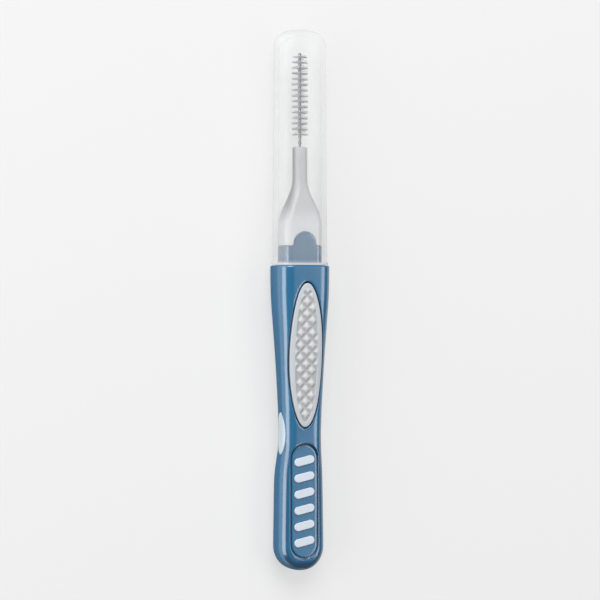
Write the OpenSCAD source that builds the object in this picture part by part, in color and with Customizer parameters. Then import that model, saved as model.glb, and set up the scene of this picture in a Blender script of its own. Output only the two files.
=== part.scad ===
// Interdental brush with a push-on travel cap, lying on its back with the cap closed.
// Y runs along the brush towards the bristle tip, X across it and Z up through the front pad.
// Places along the brush are measured from the shoulder, where the cap seats: towards the
// tip they are positive. Heights are measured from the wire's axis.

/* [Grip] */
// Length of the grip from the shoulder to the end of the tail
grip_l = 41.6; // [38:0.1:48]
// Width across the shoulder
shoulder_w = 7.54; // [7.4:0.02:8.4]
// Width at the waist, the narrowest place
waist_w = 5.64; // [5:0.02:6]
// Width of the tail
tail_w = 6.6; // [6:0.02:7.4]
// Front surface above the axis at the shoulder
shoulder_front = 2.8; // [2.6:0.02:3.2]
// Front surface above the axis at the waist
waist_front = 1.95; // [1.8:0.05:2.4]
// Front surface above the axis at the tail
tail_front = 1.65; // [1.55:0.05:2.2]
// Height of the axis above the surface that the grip lies on
rest_h = 2.8; // [2.7:0.02:3.2]
// Back surface below the axis at the waist
waist_back = 2; // [1.8:0.05:2.4]
// Radius of the long edges at the shoulder
shoulder_edge_r = 1.7; // [1.2:0.05:1.9]
// Radius of the long edges at the waist and the tail
grip_edge_r = 1.5; // [1.1:0.05:1.7]
// Length of the rounded end of the tail
tail_round_l = 3.5; // [2.5:0.1:4.5]
// Bevel round the shoulder's rim
rim_bevel = 0.22; // [0.1:0.02:0.4]

/* [Plug and neck] */
// Width of the plug that the cap slides over
plug_w = 5.5; // [5.3:0.02:5.8]
// Depth of the plug
plug_d = 3.74; // [3.5:0.02:4]
// Radius of the plug's long edges
plug_edge_r = 0.95; // [0.7:0.05:1.2]
// Length of the plug from the shoulder
plug_l = 5.4; // [5.3:0.1:8]
// Length of the flare between the plug and the nozzle
flare_l = 6.5; // [4:0.1:7]
// Length of the slender nozzle
nozzle_l = 4.3; // [3:0.1:6]
// Diameter of the nozzle
nozzle_d = 2; // [1.6:0.05:2.4]
// Bevel on the nozzle's end
nozzle_bevel = 0.2; // [0.1:0.05:0.4]
// Width of the bar inside the grip
spine_w = 3.5; // [3:0.05:3.8]
// Depth of the bar inside the grip
spine_d = 2.2; // [2:0.05:2.4]
// Thickness of the shell behind the bar's end, at the tail
tail_wall = 3.4; // [2:0.1:6]
// Bonding gap between the core and the soft shell
bond_gap = 0.02; // [0.01:0.01:0.05]

/* [Shell details] */
// Length of the band round the plug
band_l = 2.7; // [2:0.1:3.4]
// Thickness of the band and of the tongue
band_t = 0.4; // [0.3:0.02:0.5]
// Width of the tongue on the plug's flat faces
tongue_w = 3.4; // [2.8:0.1:3.5]
// Reach of the tongue from the shoulder
tongue_l = 4.6; // [4.2:0.1:4.8]
// Length of the side windows at the waist
window_l = 5.8; // [4:0.1:7]
// Height of the side windows
window_h = 2.4; // [2:0.1:3.2]
// Depth of a window's insert below the grip's surface
window_sink = 0.02; // [0:0.01:0.06]

/* [Pads] */
// Width of a grip pad
pad_w = 4.7; // [4:0.05:5]
// Distance of the pads from the shoulder
pad_place = 2.4; // [2:0.1:4]
// Distance of the pads' other end from the waist
pad_waist_gap = 0.9; // [0.5:0.1:4]
// Groove left round a pad
pad_groove = 0.24; // [0.1:0.02:0.3]
// Height of a pad's rim above the grip
pad_proud = 0.12; // [0.05:0.01:0.2]
// Width of a pad's plain rim
pad_rim = 0.66; // [0.3:0.02:0.8]
// Depth of the textured field below the rim
pad_field_sink = 0.12; // [0:0.01:0.16]
// Width of a raised diamond
diamond_w = 1.3; // [1:0.02:1.5]
// Length of a raised diamond
diamond_l = 1.4; // [1.1:0.02:1.6]
// Spacing of the diamonds along and across the pad
diamond_pitch = 1.7; // [1.5:0.05:2]
// Shift of the diamonds from the pad's middle towards the shoulder
diamond_shift = 0.45; // [0:0.05:0.8]
// Height of a diamond above the textured field
diamond_h = 0.2; // [0.08:0.01:0.24]

/* [Panel] */
// Width of the sunk panel on the tail
panel_w = 4.2; // [3.6:0.05:4.6]
// Distance of the panel's round end from the end of the tail
panel_place = 1.6; // [1.2:0.1:2.4]
// Distance of the panel's other end from the waist
panel_waist_gap = 1.3; // [1:0.1:3]
// Depth of the panel's floor
panel_sink = 0.1; // [0.06:0.02:0.2]
// Width of the groove round the panel
groove_w = 0.28; // [0.2:0.02:0.4]
// Depth of the groove below the grip
groove_d = 0.3; // [0.2:0.02:0.4]
// Length of a raised bar on the panel
mark_l = 2.9; // [2:0.05:3]
// Width of a raised bar
mark_w = 1.1; // [0.7:0.05:1.3]
// Height of a raised bar above the panel's floor
mark_h = 0.2; // [0.12:0.02:0.3]
// Spacing of the bars, of which the panel holds as many as fit
mark_pitch = 2.2; // [1.9:0.05:2.4]
// Least distance of the first and the last bar from the panel's ends
mark_end_gap = 1.3; // [1:0.1:3]

/* [Wire and bristles] */
// Diameter of the wire
wire_d = 0.2; // [0.16:0.01:0.26]
// Length of one full turn of the twist
twist_pitch = 1.52; // [1.1:0.02:1.8]
// Length of wire held in the nozzle
wire_hold_l = 6; // [4:0.1:8]
// Clearance of the wire in the nozzle's bore
wire_gap = 0.01; // [0.01:0.01:0.03]
// Bare length between the nozzle and the first bristles
bare_l = 1.7; // [1:0.1:2.5]
// Length of the bristle field
bristle_l = 10.9; // [9:0.1:13]
// Diameter across the bristle tips
bristle_d = 2.3; // [2:0.05:3]
// Bare length between the last bristles and the wire's fold
tip_bare_l = 0.06; // [0.04:0.01:0.2]
// Thickness of the filaments where the wire nips them
nip_t = 0.05; // [0.04:0.01:0.07]
// Clearance between the nipped filaments and each wire leg
nip_gap = 0.005; // [0.003:0.001:0.01]
// Width of the nipped slice of filaments
nip_w = 0.34; // [0.3:0.01:0.4]
// Thickness of a filament at its tip
filament_t = 0.07; // [0.05:0.01:0.08]

/* [Cap] */
// Clearance between the cap and the plug
cap_fit = 0.09; // [0.06:0.01:0.14]
// Wall of the cap
cap_wall = 0.7; // [0.5:0.02:0.8]
// Narrowing of the cap on each side from its mouth to its top
cap_draft = 0.16; // [0.05:0.01:0.3]
// Height of the cap's domed end
cap_dome_l = 2.5; // [2:0.1:3]
// Thickness of the cap's closed end
cap_end_t = 0.8; // [0.5:0.05:1.2]
// Room between the wire's tip and the cap's closed end
tip_room = 2.3; // [1:0.1:4]
// Gap between the cap's mouth and the shoulder
seat_gap = 0.04; // [0.02:0.01:0.1]
// Height of the bead round the cap's mouth
bead_l = 0.5; // [0.3:0.05:0.8]
// How far the bead stands out
bead_proud = 0.1; // [0.05:0.01:0.12]

/* [Hidden] */

// Colours
white_plastic = [0.93, 0.94, 0.94];
blue_rubber = [0.15, 0.36, 0.52];
grey_rubber = [0.75, 0.76, 0.75];
steel = [0.72, 0.73, 0.75];
white_nylon = [0.94, 0.95, 0.96];
frosted = [0.93, 0.95, 0.96, 0.45];

// One overrun serves all cuts, and pieces of one solid sink into each other as far
overrun = 0.3;
// Lower cut below a pad's seat, so that the pad sits on the bar
seat_relief = 0.04;
// Extra depth that the resting face cuts away
rest_trim = 0.03;

// Counts
corner_steps = 6;
inlay_steps = 28;
wire_sides = 6;
turn_steps = 8;
fold_steps = 6;
bristle_rows = 176;

// Fullness of the grip's outline between the waist and each end, along the grip
upper_outline_shares = [[0, 1], [0.06, 0.98], [0.12, 0.9], [0.18, 0.73], [0.25, 0.54],
    [0.33, 0.35], [0.41, 0.2], [0.48, 0.07], [0.55, 0]];
lower_outline_shares = [[0.55, 0], [0.6, 0.08], [0.64, 0.36], [0.68, 0.62], [0.74, 0.77],
    [0.81, 0.86], [0.88, 0.95], [0.93, 1]];
waist_share = 0.55;
tail_flat_share = 0.72;
shoulder_flat_share = 0.02;
// A round section keeps this share of its half-width as its corner radius
round_share = 0.97;
// Powers of the curves that round the tail and the cap's dome
tail_plan_power = 2.2;
tail_depth_power = 3;
dome_power = 2.6;
// Width of a filament's root along the wire, as a share of the row spacing
root_share = 0.62;
// The last rows of bristles shorten to this share of the full reach
tip_reach_share = 0.72;
tip_rows_share = 0.05;
// Lean of the panel's bars, as the sideways shift over their length
mark_lean_share = 0.22;
// How much of a diamond's size has to lie inside the plain rim
diamond_clear_share = 0.33;
// Top of a diamond as a share of its foot
diamond_top_share = 0.5;
// Rings of a pad's top, as shares of its outline inside the plain rim
field_shares = [0.35, 0.7, 1];

// Places along the brush, from the shoulder
flare_at = plug_l;
nozzle_at = flare_at + flare_l;
neck_end = nozzle_at + nozzle_l;
bristles_at = neck_end + bare_l;
bristles_end = bristles_at + bristle_l;
leg_r = (wire_d + nip_t) / 2 + nip_gap;
fold_at = bristles_end + tip_bare_l;
wire_tip = fold_at + leg_r + wire_d / 2;
cap_inner_end = wire_tip + tip_room;
cap_top = cap_inner_end + cap_end_t;
tail_round_at = grip_l - tail_round_l;
waist_at = waist_share * grip_l;
spine_l = grip_l - tail_wall;
pad_l = waist_at - pad_waist_gap - pad_place;
pad_centre = -(pad_place + pad_l / 2);
window_centre = -waist_at;
panel_l = grip_l - panel_place - waist_at - panel_waist_gap;
panel_centre = -(grip_l - panel_place - panel_l / 2);
mark_count = floor((panel_l - 2 * mark_end_gap - mark_w) / mark_pitch) + 1;

// Sections
bore_d = 2 * leg_r + wire_d + 2 * wire_gap;
seat_w = plug_w - 2 * band_t;
seat_d = plug_d - 2 * band_t;
seat_edge_r = plug_edge_r - band_t / 2;
spine_edge_r = seat_edge_r / 2;
twist_rate = 360 / twist_pitch;
row_pitch = bristle_l / bristle_rows;
side_floor = spine_w / 2 - 2 * bond_gap;

// Curves

// A rise from 0 to 1 that starts and ends level
function ease(u) = (1 - cos(180 * min(1, max(0, u)))) / 2;

function mix(a, b, u) = a + (b - a) * u;

// Slope of a table of shares at its row i
function slope(table, i) =
    let (a = table[max(0, i - 1)], b = table[min(len(table) - 1, i + 1)])
    (b[1] - a[1]) / (b[0] - a[0]);

// A smooth curve through a table of shares
function curve(table, t, i = 0) =
    (t > table[i + 1][0] && i < len(table) - 2) ? curve(table, t, i + 1) :
    let (
        a = table[i],
        b = table[i + 1],
        w = b[0] - a[0],
        u = min(1, max(0, (t - a[0]) / w))
    )
    a[1] * (1 + 2 * u) * pow(1 - u, 2) + slope(table, i) * w * u * pow(1 - u, 2)
    + b[1] * u * u * (3 - 2 * u) + slope(table, i + 1) * w * u * u * (u - 1);

// What is left of a half-width where an end is rounded over, from 1 to 0
function rounded_off(u, power) = pow(max(0, 1 - pow(u, power)), 1 / power);

// The grip's half-width before its tail is rounded
function plain_half_w(s) =
    let (t = -s / grip_l)
    waist_w / 2 + (t < waist_share
        ? (shoulder_w - waist_w) / 2 * curve(upper_outline_shares, t)
        : (tail_w - waist_w) / 2 * curve(lower_outline_shares, t));

function grip_front(s) =
    let (t = -s / grip_l)
    t < waist_share
        ? mix(shoulder_front, waist_front, ease(t / waist_share))
        : mix(waist_front, tail_front, ease((t - waist_share) / (tail_flat_share - waist_share)));

function grip_back(s) =
    let (t = -s / grip_l, full = rest_h + rest_trim)
    t < waist_share
        ? mix(full, waist_back, ease((t - shoulder_flat_share) / (waist_share - shoulder_flat_share)))
        : mix(waist_back, full, ease((t - waist_share) / (tail_flat_share - waist_share)));

function grip_edge(s) = mix(shoulder_edge_r, grip_edge_r, ease(-s / grip_l / waist_share));

// Height of a rounded section's surface at a distance from its middle
function crown(across, half_w, height, edge) =
    let (past = min(edge, max(0, abs(across) - (half_w - edge))))
    height - edge + sqrt(max(0, edge * edge - past * past));

// Rings

// A rounded section across the brush at place s
function section(s, half_w, front, back, edge) = [
    for (q = [0 : 3]) for (i = [0 : corner_steps])
        let (
            a = 90 * q + 90 * i / corner_steps,
            cx = (q == 0 || q == 3 ? 1 : -1) * (half_w - edge),
            cz = q < 2 ? front - edge : edge - back
        )
        [cx + edge * cos(a), s, cz + edge * sin(a)]
];

// The same with equal front and back, and its edge kept below its half-width and half-depth
function even_section(s, half_w, half_d, edge) =
    section(s, half_w, half_d, half_d, min(edge, round_share * min(half_w, half_d)));

// The grip's section at place s, drawn in by an inset
function grip_section(s, inset = 0) =
    section(s, plain_half_w(s) - inset, grip_front(s) - inset, grip_back(s) - inset,
        grip_edge(s) - inset);

// A section of the rounded tail, where u runs from 0 to 1 at its end
function tail_section(u) =
    let (
        s = -(tail_round_at + tail_round_l * u),
        half_w = plain_half_w(s) * rounded_off(u, tail_plan_power),
        depth = rounded_off(u, tail_depth_power),
        front = grip_front(s) * depth,
        back = grip_back(s) * depth
    )
    section(s, half_w, front, back, min(grip_edge_r, round_share * min(half_w, front, back)));

function plug_section(s, gap = 0) =
    even_section(s, plug_w / 2 + gap, plug_d / 2 + gap, plug_edge_r + gap);

function seat_section(s, gap = 0) =
    even_section(s, seat_w / 2 + gap, seat_d / 2 + gap, seat_edge_r + gap);

function spine_section(s, gap = 0) =
    even_section(s, spine_w / 2 + gap, spine_d / 2 + gap, spine_edge_r + gap);

// A section of the flare, where u runs from 0 at the plug to 1 at the nozzle
function flare_section(u) =
    let (e = ease(u))
    even_section(flare_at + flare_l * u, mix(plug_w, nozzle_d, e) / 2,
        mix(plug_d, nozzle_d, e) / 2, mix(plug_edge_r, nozzle_d / 2, e));

// Closes a list of rings, all with as many points, into a solid with a point at each end
module skin(rings, first, last) {
    n = len(rings[0]);
    m = len(rings);
    end = n * m + 1;
    polyhedron(
        points = concat([first], [for (r = rings) for (p = r) p], [last]),
        faces = concat(
            [for (j = [0 : n - 1]) [0, 1 + j, 1 + (j + 1) % n]],
            [for (i = [0 : m - 2]) for (j = [0 : n - 1])
                [1 + i * n + j, 1 + (i + 1) * n + j, 1 + (i + 1) * n + (j + 1) % n]],
            [for (i = [0 : m - 2]) for (j = [0 : n - 1])
                [1 + i * n + j, 1 + (i + 1) * n + (j + 1) % n, 1 + i * n + (j + 1) % n]],
            [for (j = [0 : n - 1]) [end, end - n + (j + 1) % n, end - n + j]]
        )
    );
}

function on_axis(s) = [0, s, 0];

// Puts the brush in its place: mid-length at the origin, lying at height 0
module placed() {
    translate([0, (grip_l - cap_top) / 2, rest_h]) children();
}

// Outlines of windows and inlays

// An ellipse as a ring of points in its own plane
function ellipse(half_long, half_wide) = [
    for (j = [0 : inlay_steps - 1])
        let (a = 360 * j / inlay_steps)
        [half_wide * cos(a), -half_long * sin(a)]
];

// An ellipse prism that rises from a height, with its long side along the brush
module ellipse_cut(half_long, half_wide, at, floor_z, height) {
    translate([0, at, floor_z]) linear_extrude(height) polygon(ellipse(half_long, half_wide));
}

// A stadium along the brush
module stadium(length, width) {
    square([width, length - width], center = true);
    for (side = [-1, 1]) translate([0, side * (length - width) / 2]) circle(d = width, $fn = 48);
}

// The tongue's outline, from a start to its round end
module tongue_outline(start, gap) {
    half_w = tongue_w / 2 + gap;
    round_at = tongue_l - tongue_w / 2;
    translate([-half_w, start]) square([2 * half_w, round_at - start]);
    translate([0, round_at]) circle(half_w, $fn = 48);
}

// The tongues on the plug's front and back
module tongues(start, gap) {
    half_d = plug_d / 2;
    for (side = [0, 1]) mirror([0, 0, side])
        translate([0, 0, half_d - band_t - gap])
        linear_extrude(band_t + (gap > 0 ? overrun : 0)) tongue_outline(start, gap);
}

// White core: nozzle, plug, the seat of the band, the bar inside the grip and its side bosses

// Outside of the core, grown by a gap where it shapes the shell's cavity
module core_body(gap) {
    flare_rings = 9;
    seat_end = gap > 0 ? band_l + overrun : band_l;
    outside = gap > 0 ? [] : concat(
        [
            even_section(neck_end, nozzle_d / 2 - nozzle_bevel, nozzle_d / 2 - nozzle_bevel, nozzle_d),
            even_section(neck_end - nozzle_bevel, nozzle_d / 2, nozzle_d / 2, nozzle_d)
        ],
        [for (i = [flare_rings : -1 : 0]) flare_section(i / flare_rings)],
        [plug_section(band_l)]
    );
    inside = [
        seat_section(seat_end, gap),
        seat_section(-gap, gap),
        spine_section(-gap, gap),
        spine_section(-spine_l - gap, gap)
    ];
    skin(concat(outside, inside), on_axis(gap > 0 ? seat_end : neck_end), on_axis(-spine_l - gap));
}

// A boss that fills one side window, level with the grip's surface
module side_boss() {
    top_shares = [0.4, 0.75, 1];
    half_l = window_l / 2 - bond_gap;
    half_h = window_h / 2 - bond_gap;
    floor_x = side_floor - overrun / 2;
    top = [for (k = top_shares) [
        for (p = ellipse(half_l * k, half_h * k))
            let (s = window_centre + p[1])
            [
                crown(p[0], p[0] < 0 ? grip_front(s) : grip_back(s), plain_half_w(s), grip_edge(s))
                - window_sink,
                s,
                -p[0]
            ]
    ]];
    foot = [for (p = ellipse(half_l, half_h)) [floor_x, window_centre + p[1], -p[0]]];
    skin(concat(top, [foot]), [waist_w / 2 - window_sink, window_centre, 0],
        [floor_x, window_centre, 0]);
}

module handle_core() {
    color(white_plastic) placed() difference() {
        union() {
            core_body(0);
            for (side = [0, 1]) mirror([side, 0, 0]) side_boss();
        }
        tongues(band_l - overrun, bond_gap);
        translate([0, neck_end - wire_hold_l - wire_gap, 0]) rotate([-90, 0, 0])
            cylinder(h = wire_hold_l + overrun, d = bore_d, $fn = 32);
    }
}

// Blue soft shell: the grip's outside with its band, tongues, windows and panel

module grip_outside() {
    body_rings = 20;
    tail_rings = 8;
    rings = concat(
        [plug_section(band_l), plug_section(0)],
        [grip_section(0, rim_bevel), grip_section(-rim_bevel)],
        [for (i = [1 : body_rings]) grip_section(mix(-rim_bevel, -tail_round_at, i / body_rings))],
        [for (i = [1 : tail_rings - 1]) tail_section(sin(90 * i / tail_rings))]
    );
    skin(rings, on_axis(band_l), on_axis(-grip_l));
}

// The hole of a pad, from the bar's face outwards
module pad_hole() {
    floor_z = spine_d / 2 - seat_relief;
    ellipse_cut(pad_l / 2 + pad_groove, pad_w / 2 + pad_groove, pad_centre, floor_z,
        rest_h + overrun - floor_z);
}

// The two side windows
module side_windows() {
    for (side = [-1, 1]) translate([0, window_centre, 0]) rotate([0, side * 90, 0])
        translate([0, 0, side_floor - overrun / 2 - bond_gap])
        linear_extrude(shoulder_w / 2) polygon(ellipse(window_l / 2, window_h / 2));
}

// The sunk panel and the groove round it
module panel_cuts() {
    reach = groove_d + overrun;
    translate([0, panel_centre, tail_front - panel_sink]) linear_extrude(reach)
        stadium(panel_l, panel_w);
    translate([0, panel_centre, tail_front - groove_d]) linear_extrude(reach) difference() {
        stadium(panel_l, panel_w);
        stadium(panel_l - 2 * groove_w, panel_w - 2 * groove_w);
    }
}

module grip_shell() {
    color(blue_rubber) placed() {
        difference() {
            grip_outside();
            core_body(bond_gap);
            for (side = [0, 1]) mirror([0, 0, side]) pad_hole();
            side_windows();
            panel_cuts();
            translate([-shoulder_w, -grip_l - overrun, -rest_h - overrun])
                cube([2 * shoulder_w, grip_l + 2 * overrun, overrun]);
        }
        tongues(band_l, 0);
    }
}

// Grey pads with a plain rim and raised diamonds

// Height of the grip's surface above the axis, at the front or at the back
function grip_surface(x, s, back) =
    crown(x, plain_half_w(s), back ? grip_back(s) : grip_front(s), grip_edge(s));

// Height of a pad's textured field, which at the back ends at the resting face
function pad_field(x, s, back) =
    min(grip_surface(x, s, back) + pad_proud - pad_field_sink, back ? rest_h : shoulder_w);

// One ring of a pad's top, drawn in from its outline and raised from its field
function pad_ring(inset, share, rise, back) = [
    for (p = ellipse((pad_l / 2 - inset) * share, (pad_w / 2 - inset) * share))
        let (s = pad_centre + p[1])
        [p[0], s, min(pad_field(p[0], s, back) + rise, back ? rest_h : shoulder_w)]
];

// A raised diamond on the field
module diamond(x, s, back) {
    foot = pad_field(x, s, back) - pad_field_sink;
    top = min(pad_field(x, s, back) + diamond_h, back ? rest_h : shoulder_w);
    corners = [[0.5, 0], [0, -0.5], [-0.5, 0], [0, 0.5]];
    if (top - foot > diamond_h) {
        skin(
            [
                [for (c = corners) [x + diamond_w * diamond_top_share * c[0],
                    s + diamond_l * diamond_top_share * c[1], top]],
                [for (c = corners) [x + diamond_w * c[0], s + diamond_l * c[1], foot]]
            ],
            [x, s, top], [x, s, foot]
        );
    }
}

// Diamonds in staggered rows, as many as the field inside the rim holds
module diamonds(back) {
    half_rows = ceil(pad_l / diamond_pitch);
    half_cols = ceil(pad_w / diamond_pitch);
    clear_l = pad_l / 2 - pad_rim - diamond_clear_share * diamond_l;
    clear_w = pad_w / 2 - pad_rim - diamond_clear_share * diamond_w;
    for (row = [-half_rows : half_rows]) for (col = [-half_cols : half_cols]) {
        x = (col + (abs(row) % 2) / 2) * diamond_pitch;
        y = row * diamond_pitch / 2 + diamond_shift;
        if (pow(x / clear_w, 2) + pow(y / clear_l, 2) < 1) diamond(x, pad_centre + y, back);
    }
}

module pad(back) {
    rim_round = pad_proud / 2;
    rings = concat(
        [for (k = field_shares) pad_ring(pad_rim, k, 0, back)],
        [
            pad_ring(pad_rim - rim_round, 1, pad_field_sink, back),
            pad_ring(rim_round, 1, pad_field_sink, back),
            pad_ring(0, 1, pad_field_sink - rim_round, back)
        ],
        [[for (p = ellipse(pad_l / 2, pad_w / 2)) [p[0], pad_centre + p[1], spine_d / 2]]]
    );
    skin(rings, [0, pad_centre, pad_field(0, pad_centre, back)], [0, pad_centre, spine_d / 2]);
    diamonds(back);
}

module front_grip_pad() {
    color(grey_rubber) placed() pad(false);
}

module rear_grip_pad() {
    color(grey_rubber) placed() mirror([0, 0, 1]) pad(true);
}

// White bars on the panel's floor

// A bar with round ends, leaning along the brush
module mark_outline() {
    reach = (mark_l - mark_w) / 2;
    lean = reach * mark_lean_share;
    length = sqrt(reach * reach + lean * lean);
    rotate(atan(mark_lean_share)) {
        square([2 * length, mark_w], center = true);
        for (side = [-1, 1]) translate([side * length, 0]) circle(d = mark_w, $fn = 32);
    }
}

module panel_marks() {
    color(white_plastic) placed() for (i = [0 : mark_count - 1])
        translate([0, panel_centre + (i - (mark_count - 1) / 2) * mark_pitch, tail_front - panel_sink])
        linear_extrude(mark_h) mark_outline();
}

// Stainless wire folded at the tip, its two legs twisted round each other

// The direction of a leg from the axis at place s
function leg_way(s, side) =
    let (a = twist_rate * (s - fold_at) + (side > 0 ? 0 : 180))
    [cos(a), 0, sin(a)];

// A ring of the wire round a point, square to a direction
function wire_ring(centre, across, along) =
    let (out = cross(across, along))
    [for (j = [0 : wire_sides - 1])
        let (a = 360 * j / wire_sides)
        centre + wire_d / 2 * (cos(a) * out + sin(a) * across)];

// A ring of one leg at place s, where heading is 1 towards the fold and -1 away from it
function leg_ring(s, side, heading) =
    let (
        way = leg_way(s, side),
        turning = leg_r * twist_rate * PI / 180 * [-way[2], 0, way[0]],
        ahead = heading * (turning + [0, 1, 0]),
        along = ahead / norm(ahead)
    )
    wire_ring([0, s, 0] + leg_r * way, cross(along, way), along);

// A ring of the fold over the tip, where a runs from 0 to 180
function fold_ring(a) =
    let (way = leg_way(fold_at, 1), up = [0, 1, 0])
    wire_ring([0, fold_at, 0] + leg_r * (cos(a) * way + sin(a) * up),
        cross(up, way), cos(a) * up - sin(a) * way);

module twisted_wire() {
    start = neck_end - wire_hold_l;
    steps = ceil((fold_at - start) / twist_pitch * turn_steps);
    step = (fold_at - start) / steps;
    rings = concat(
        [for (i = [0 : steps - 1]) leg_ring(start + i * step, 1, 1)],
        [for (i = [0 : fold_steps]) fold_ring(180 * i / fold_steps)],
        [for (i = [steps - 1 : -1 : 0]) leg_ring(start + i * step, -1, -1)]
    );
    color(steel) placed() skin(rings, [0, start, 0] + leg_r * leg_way(start, 1),
        [0, start, 0] + leg_r * leg_way(start, -1));
}

// Bristles: filaments laid side by side, nipped between the wire's legs and twisted with them.
// The nipped middles are one thin slice, and each filament grows from its edge on both sides.

// Directions of the slice at place s: across its width and through its thickness
function slice_ways(s) =
    let (way = leg_way(s, 1))
    [[-way[2], 0, way[0]], way];

// The slice's four corners at place s
function slice_ring(s) =
    let (ways = slice_ways(s), wide = nip_w / 2 * ways[0], thick = nip_t / 2 * ways[1])
    [
        [0, s, 0] + wide + thick,
        [0, s, 0] - wide + thick,
        [0, s, 0] - wide - thick,
        [0, s, 0] + wide - thick
    ];

// Reach of a row of bristles, which shortens over the last rows
function row_reach(i) =
    let (left = (bristle_rows - 1 - i) / (tip_rows_share * bristle_rows))
    bristle_d / 2 * mix(tip_reach_share, 1, ease(left));

// The four corners of a filament's tip, on the side given
function filament_tip(i, side) =
    let (
        s = bristles_at + (i + root_share / 2) * row_pitch,
        ways = slice_ways(s),
        centre = [0, s, 0] + side * row_reach(i) * ways[0],
        thick = filament_t / 2 * ways[1],
        along = [0, filament_t / 2, 0]
    )
    [
        centre + thick - along,
        centre + thick + along,
        centre - thick + along,
        centre - thick - along
    ];

module bristle_field() {
    n = bristle_rows;
    tips = 8 * n;
    points = concat(
        [for (i = [0 : n - 1]) for (end = [0, root_share]) for (p = slice_ring(
            bristles_at + (i + end) * row_pitch)) p],
        [for (i = [0 : n - 1]) for (side = [1, -1]) for (p = filament_tip(i, side)) p]
    );
    quads = concat(
        [[0, 1, 2, 3], [tips - 1, tips - 2, tips - 3, tips - 4]],
        // The slice's two broad faces
        [for (r = [0 : 2 * n - 2]) for (e = [0, 2])
            let (a = 4 * r + e, b = a + 4)
            [a, b, b + 1, a + 1]],
        // Its narrow edges between one filament and the next
        [for (i = [0 : n - 2]) for (e = [1, 3])
            let (a = 8 * i + 4 + e, b = a + 4, f = 8 * i + 4 + (e + 1) % 4, g = f + 4)
            [a, b, g, f]],
        // The filaments: four sides and a flat tip each
        [for (i = [0 : n - 1]) for (side = [0, 1])
            let (
                low = 8 * i,
                t = tips + 8 * i + 4 * side,
                // Root corners in the order of the tip's corners
                root = side == 0
                    ? [low, low + 4, low + 7, low + 3]
                    : [low + 1, low + 5, low + 6, low + 2],
                faces = [
                    for (k = [0 : 3]) [root[k], root[(k + 1) % 4], t + (k + 1) % 4, t + k]
                ],
                all = concat(faces, [[t, t + 1, t + 2, t + 3]])
            )
            for (f = all) side == 1 ? f : [f[3], f[2], f[1], f[0]]]
    );
    polyhedron(
        points = points,
        faces = [for (q = quads) for (f = [[q[0], q[1], q[2]], [q[0], q[2], q[3]]]) f]
    );
}

module bristles() {
    color(white_nylon) placed() bristle_field();
}

// Frosted cap: one wall, from its domed end down to the mouth and up inside to the dome again

module cap() {
    wall_rings = 4;
    dome_rings = 7;
    mouth = seat_gap;
    half_w = plug_w / 2 + cap_fit;
    half_d = plug_d / 2 + cap_fit;
    edge = plug_edge_r + cap_fit;
    draft_at = function (s) cap_draft * (s - mouth) / (cap_top - mouth);
    // The cap's section at place s, grown from its inside and drawn in by the dome
    wall_section = function (s, grow, share = 1)
        even_section(s, (half_w + grow - draft_at(s)) * share, (half_d + grow - draft_at(s)) * share,
            (edge + grow) * share);
    inner_dome_l = cap_dome_l - cap_wall / 2;
    inner_dome_at = cap_inner_end - inner_dome_l;
    rings = concat(
        [for (i = [dome_rings - 1 : -1 : 1])
            let (u = sin(90 * i / dome_rings))
            wall_section(cap_top - cap_dome_l * (1 - u), cap_wall, rounded_off(u, dome_power))],
        [for (i = [wall_rings : -1 : 1])
            wall_section(mix(mouth + bead_l + bead_proud, cap_top - cap_dome_l, i / wall_rings), cap_wall)],
        [
            wall_section(mouth + bead_l + bead_proud, cap_wall),
            wall_section(mouth + bead_l, cap_wall + bead_proud),
            wall_section(mouth + bead_proud / 2, cap_wall + bead_proud),
            wall_section(mouth, cap_wall + bead_proud / 2)
        ],
        [for (i = [0 : wall_rings]) wall_section(mix(mouth, inner_dome_at, i / wall_rings), 0)],
        [for (i = [1 : dome_rings - 1])
            let (u = sin(90 * i / dome_rings))
            wall_section(inner_dome_at + inner_dome_l * u, 0, rounded_off(u, dome_power))]
    );
    color(frosted) placed() skin(rings, on_axis(cap_top), on_axis(cap_inner_end));
}

handle_core();
grip_shell();
front_grip_pad();
rear_grip_pad();
panel_marks();
twisted_wire();
bristles();
cap();
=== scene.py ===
import math

import bmesh
import bpy
import numpy as np
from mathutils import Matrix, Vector
from mathutils.geometry import delaunay_2d_cdt


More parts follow.
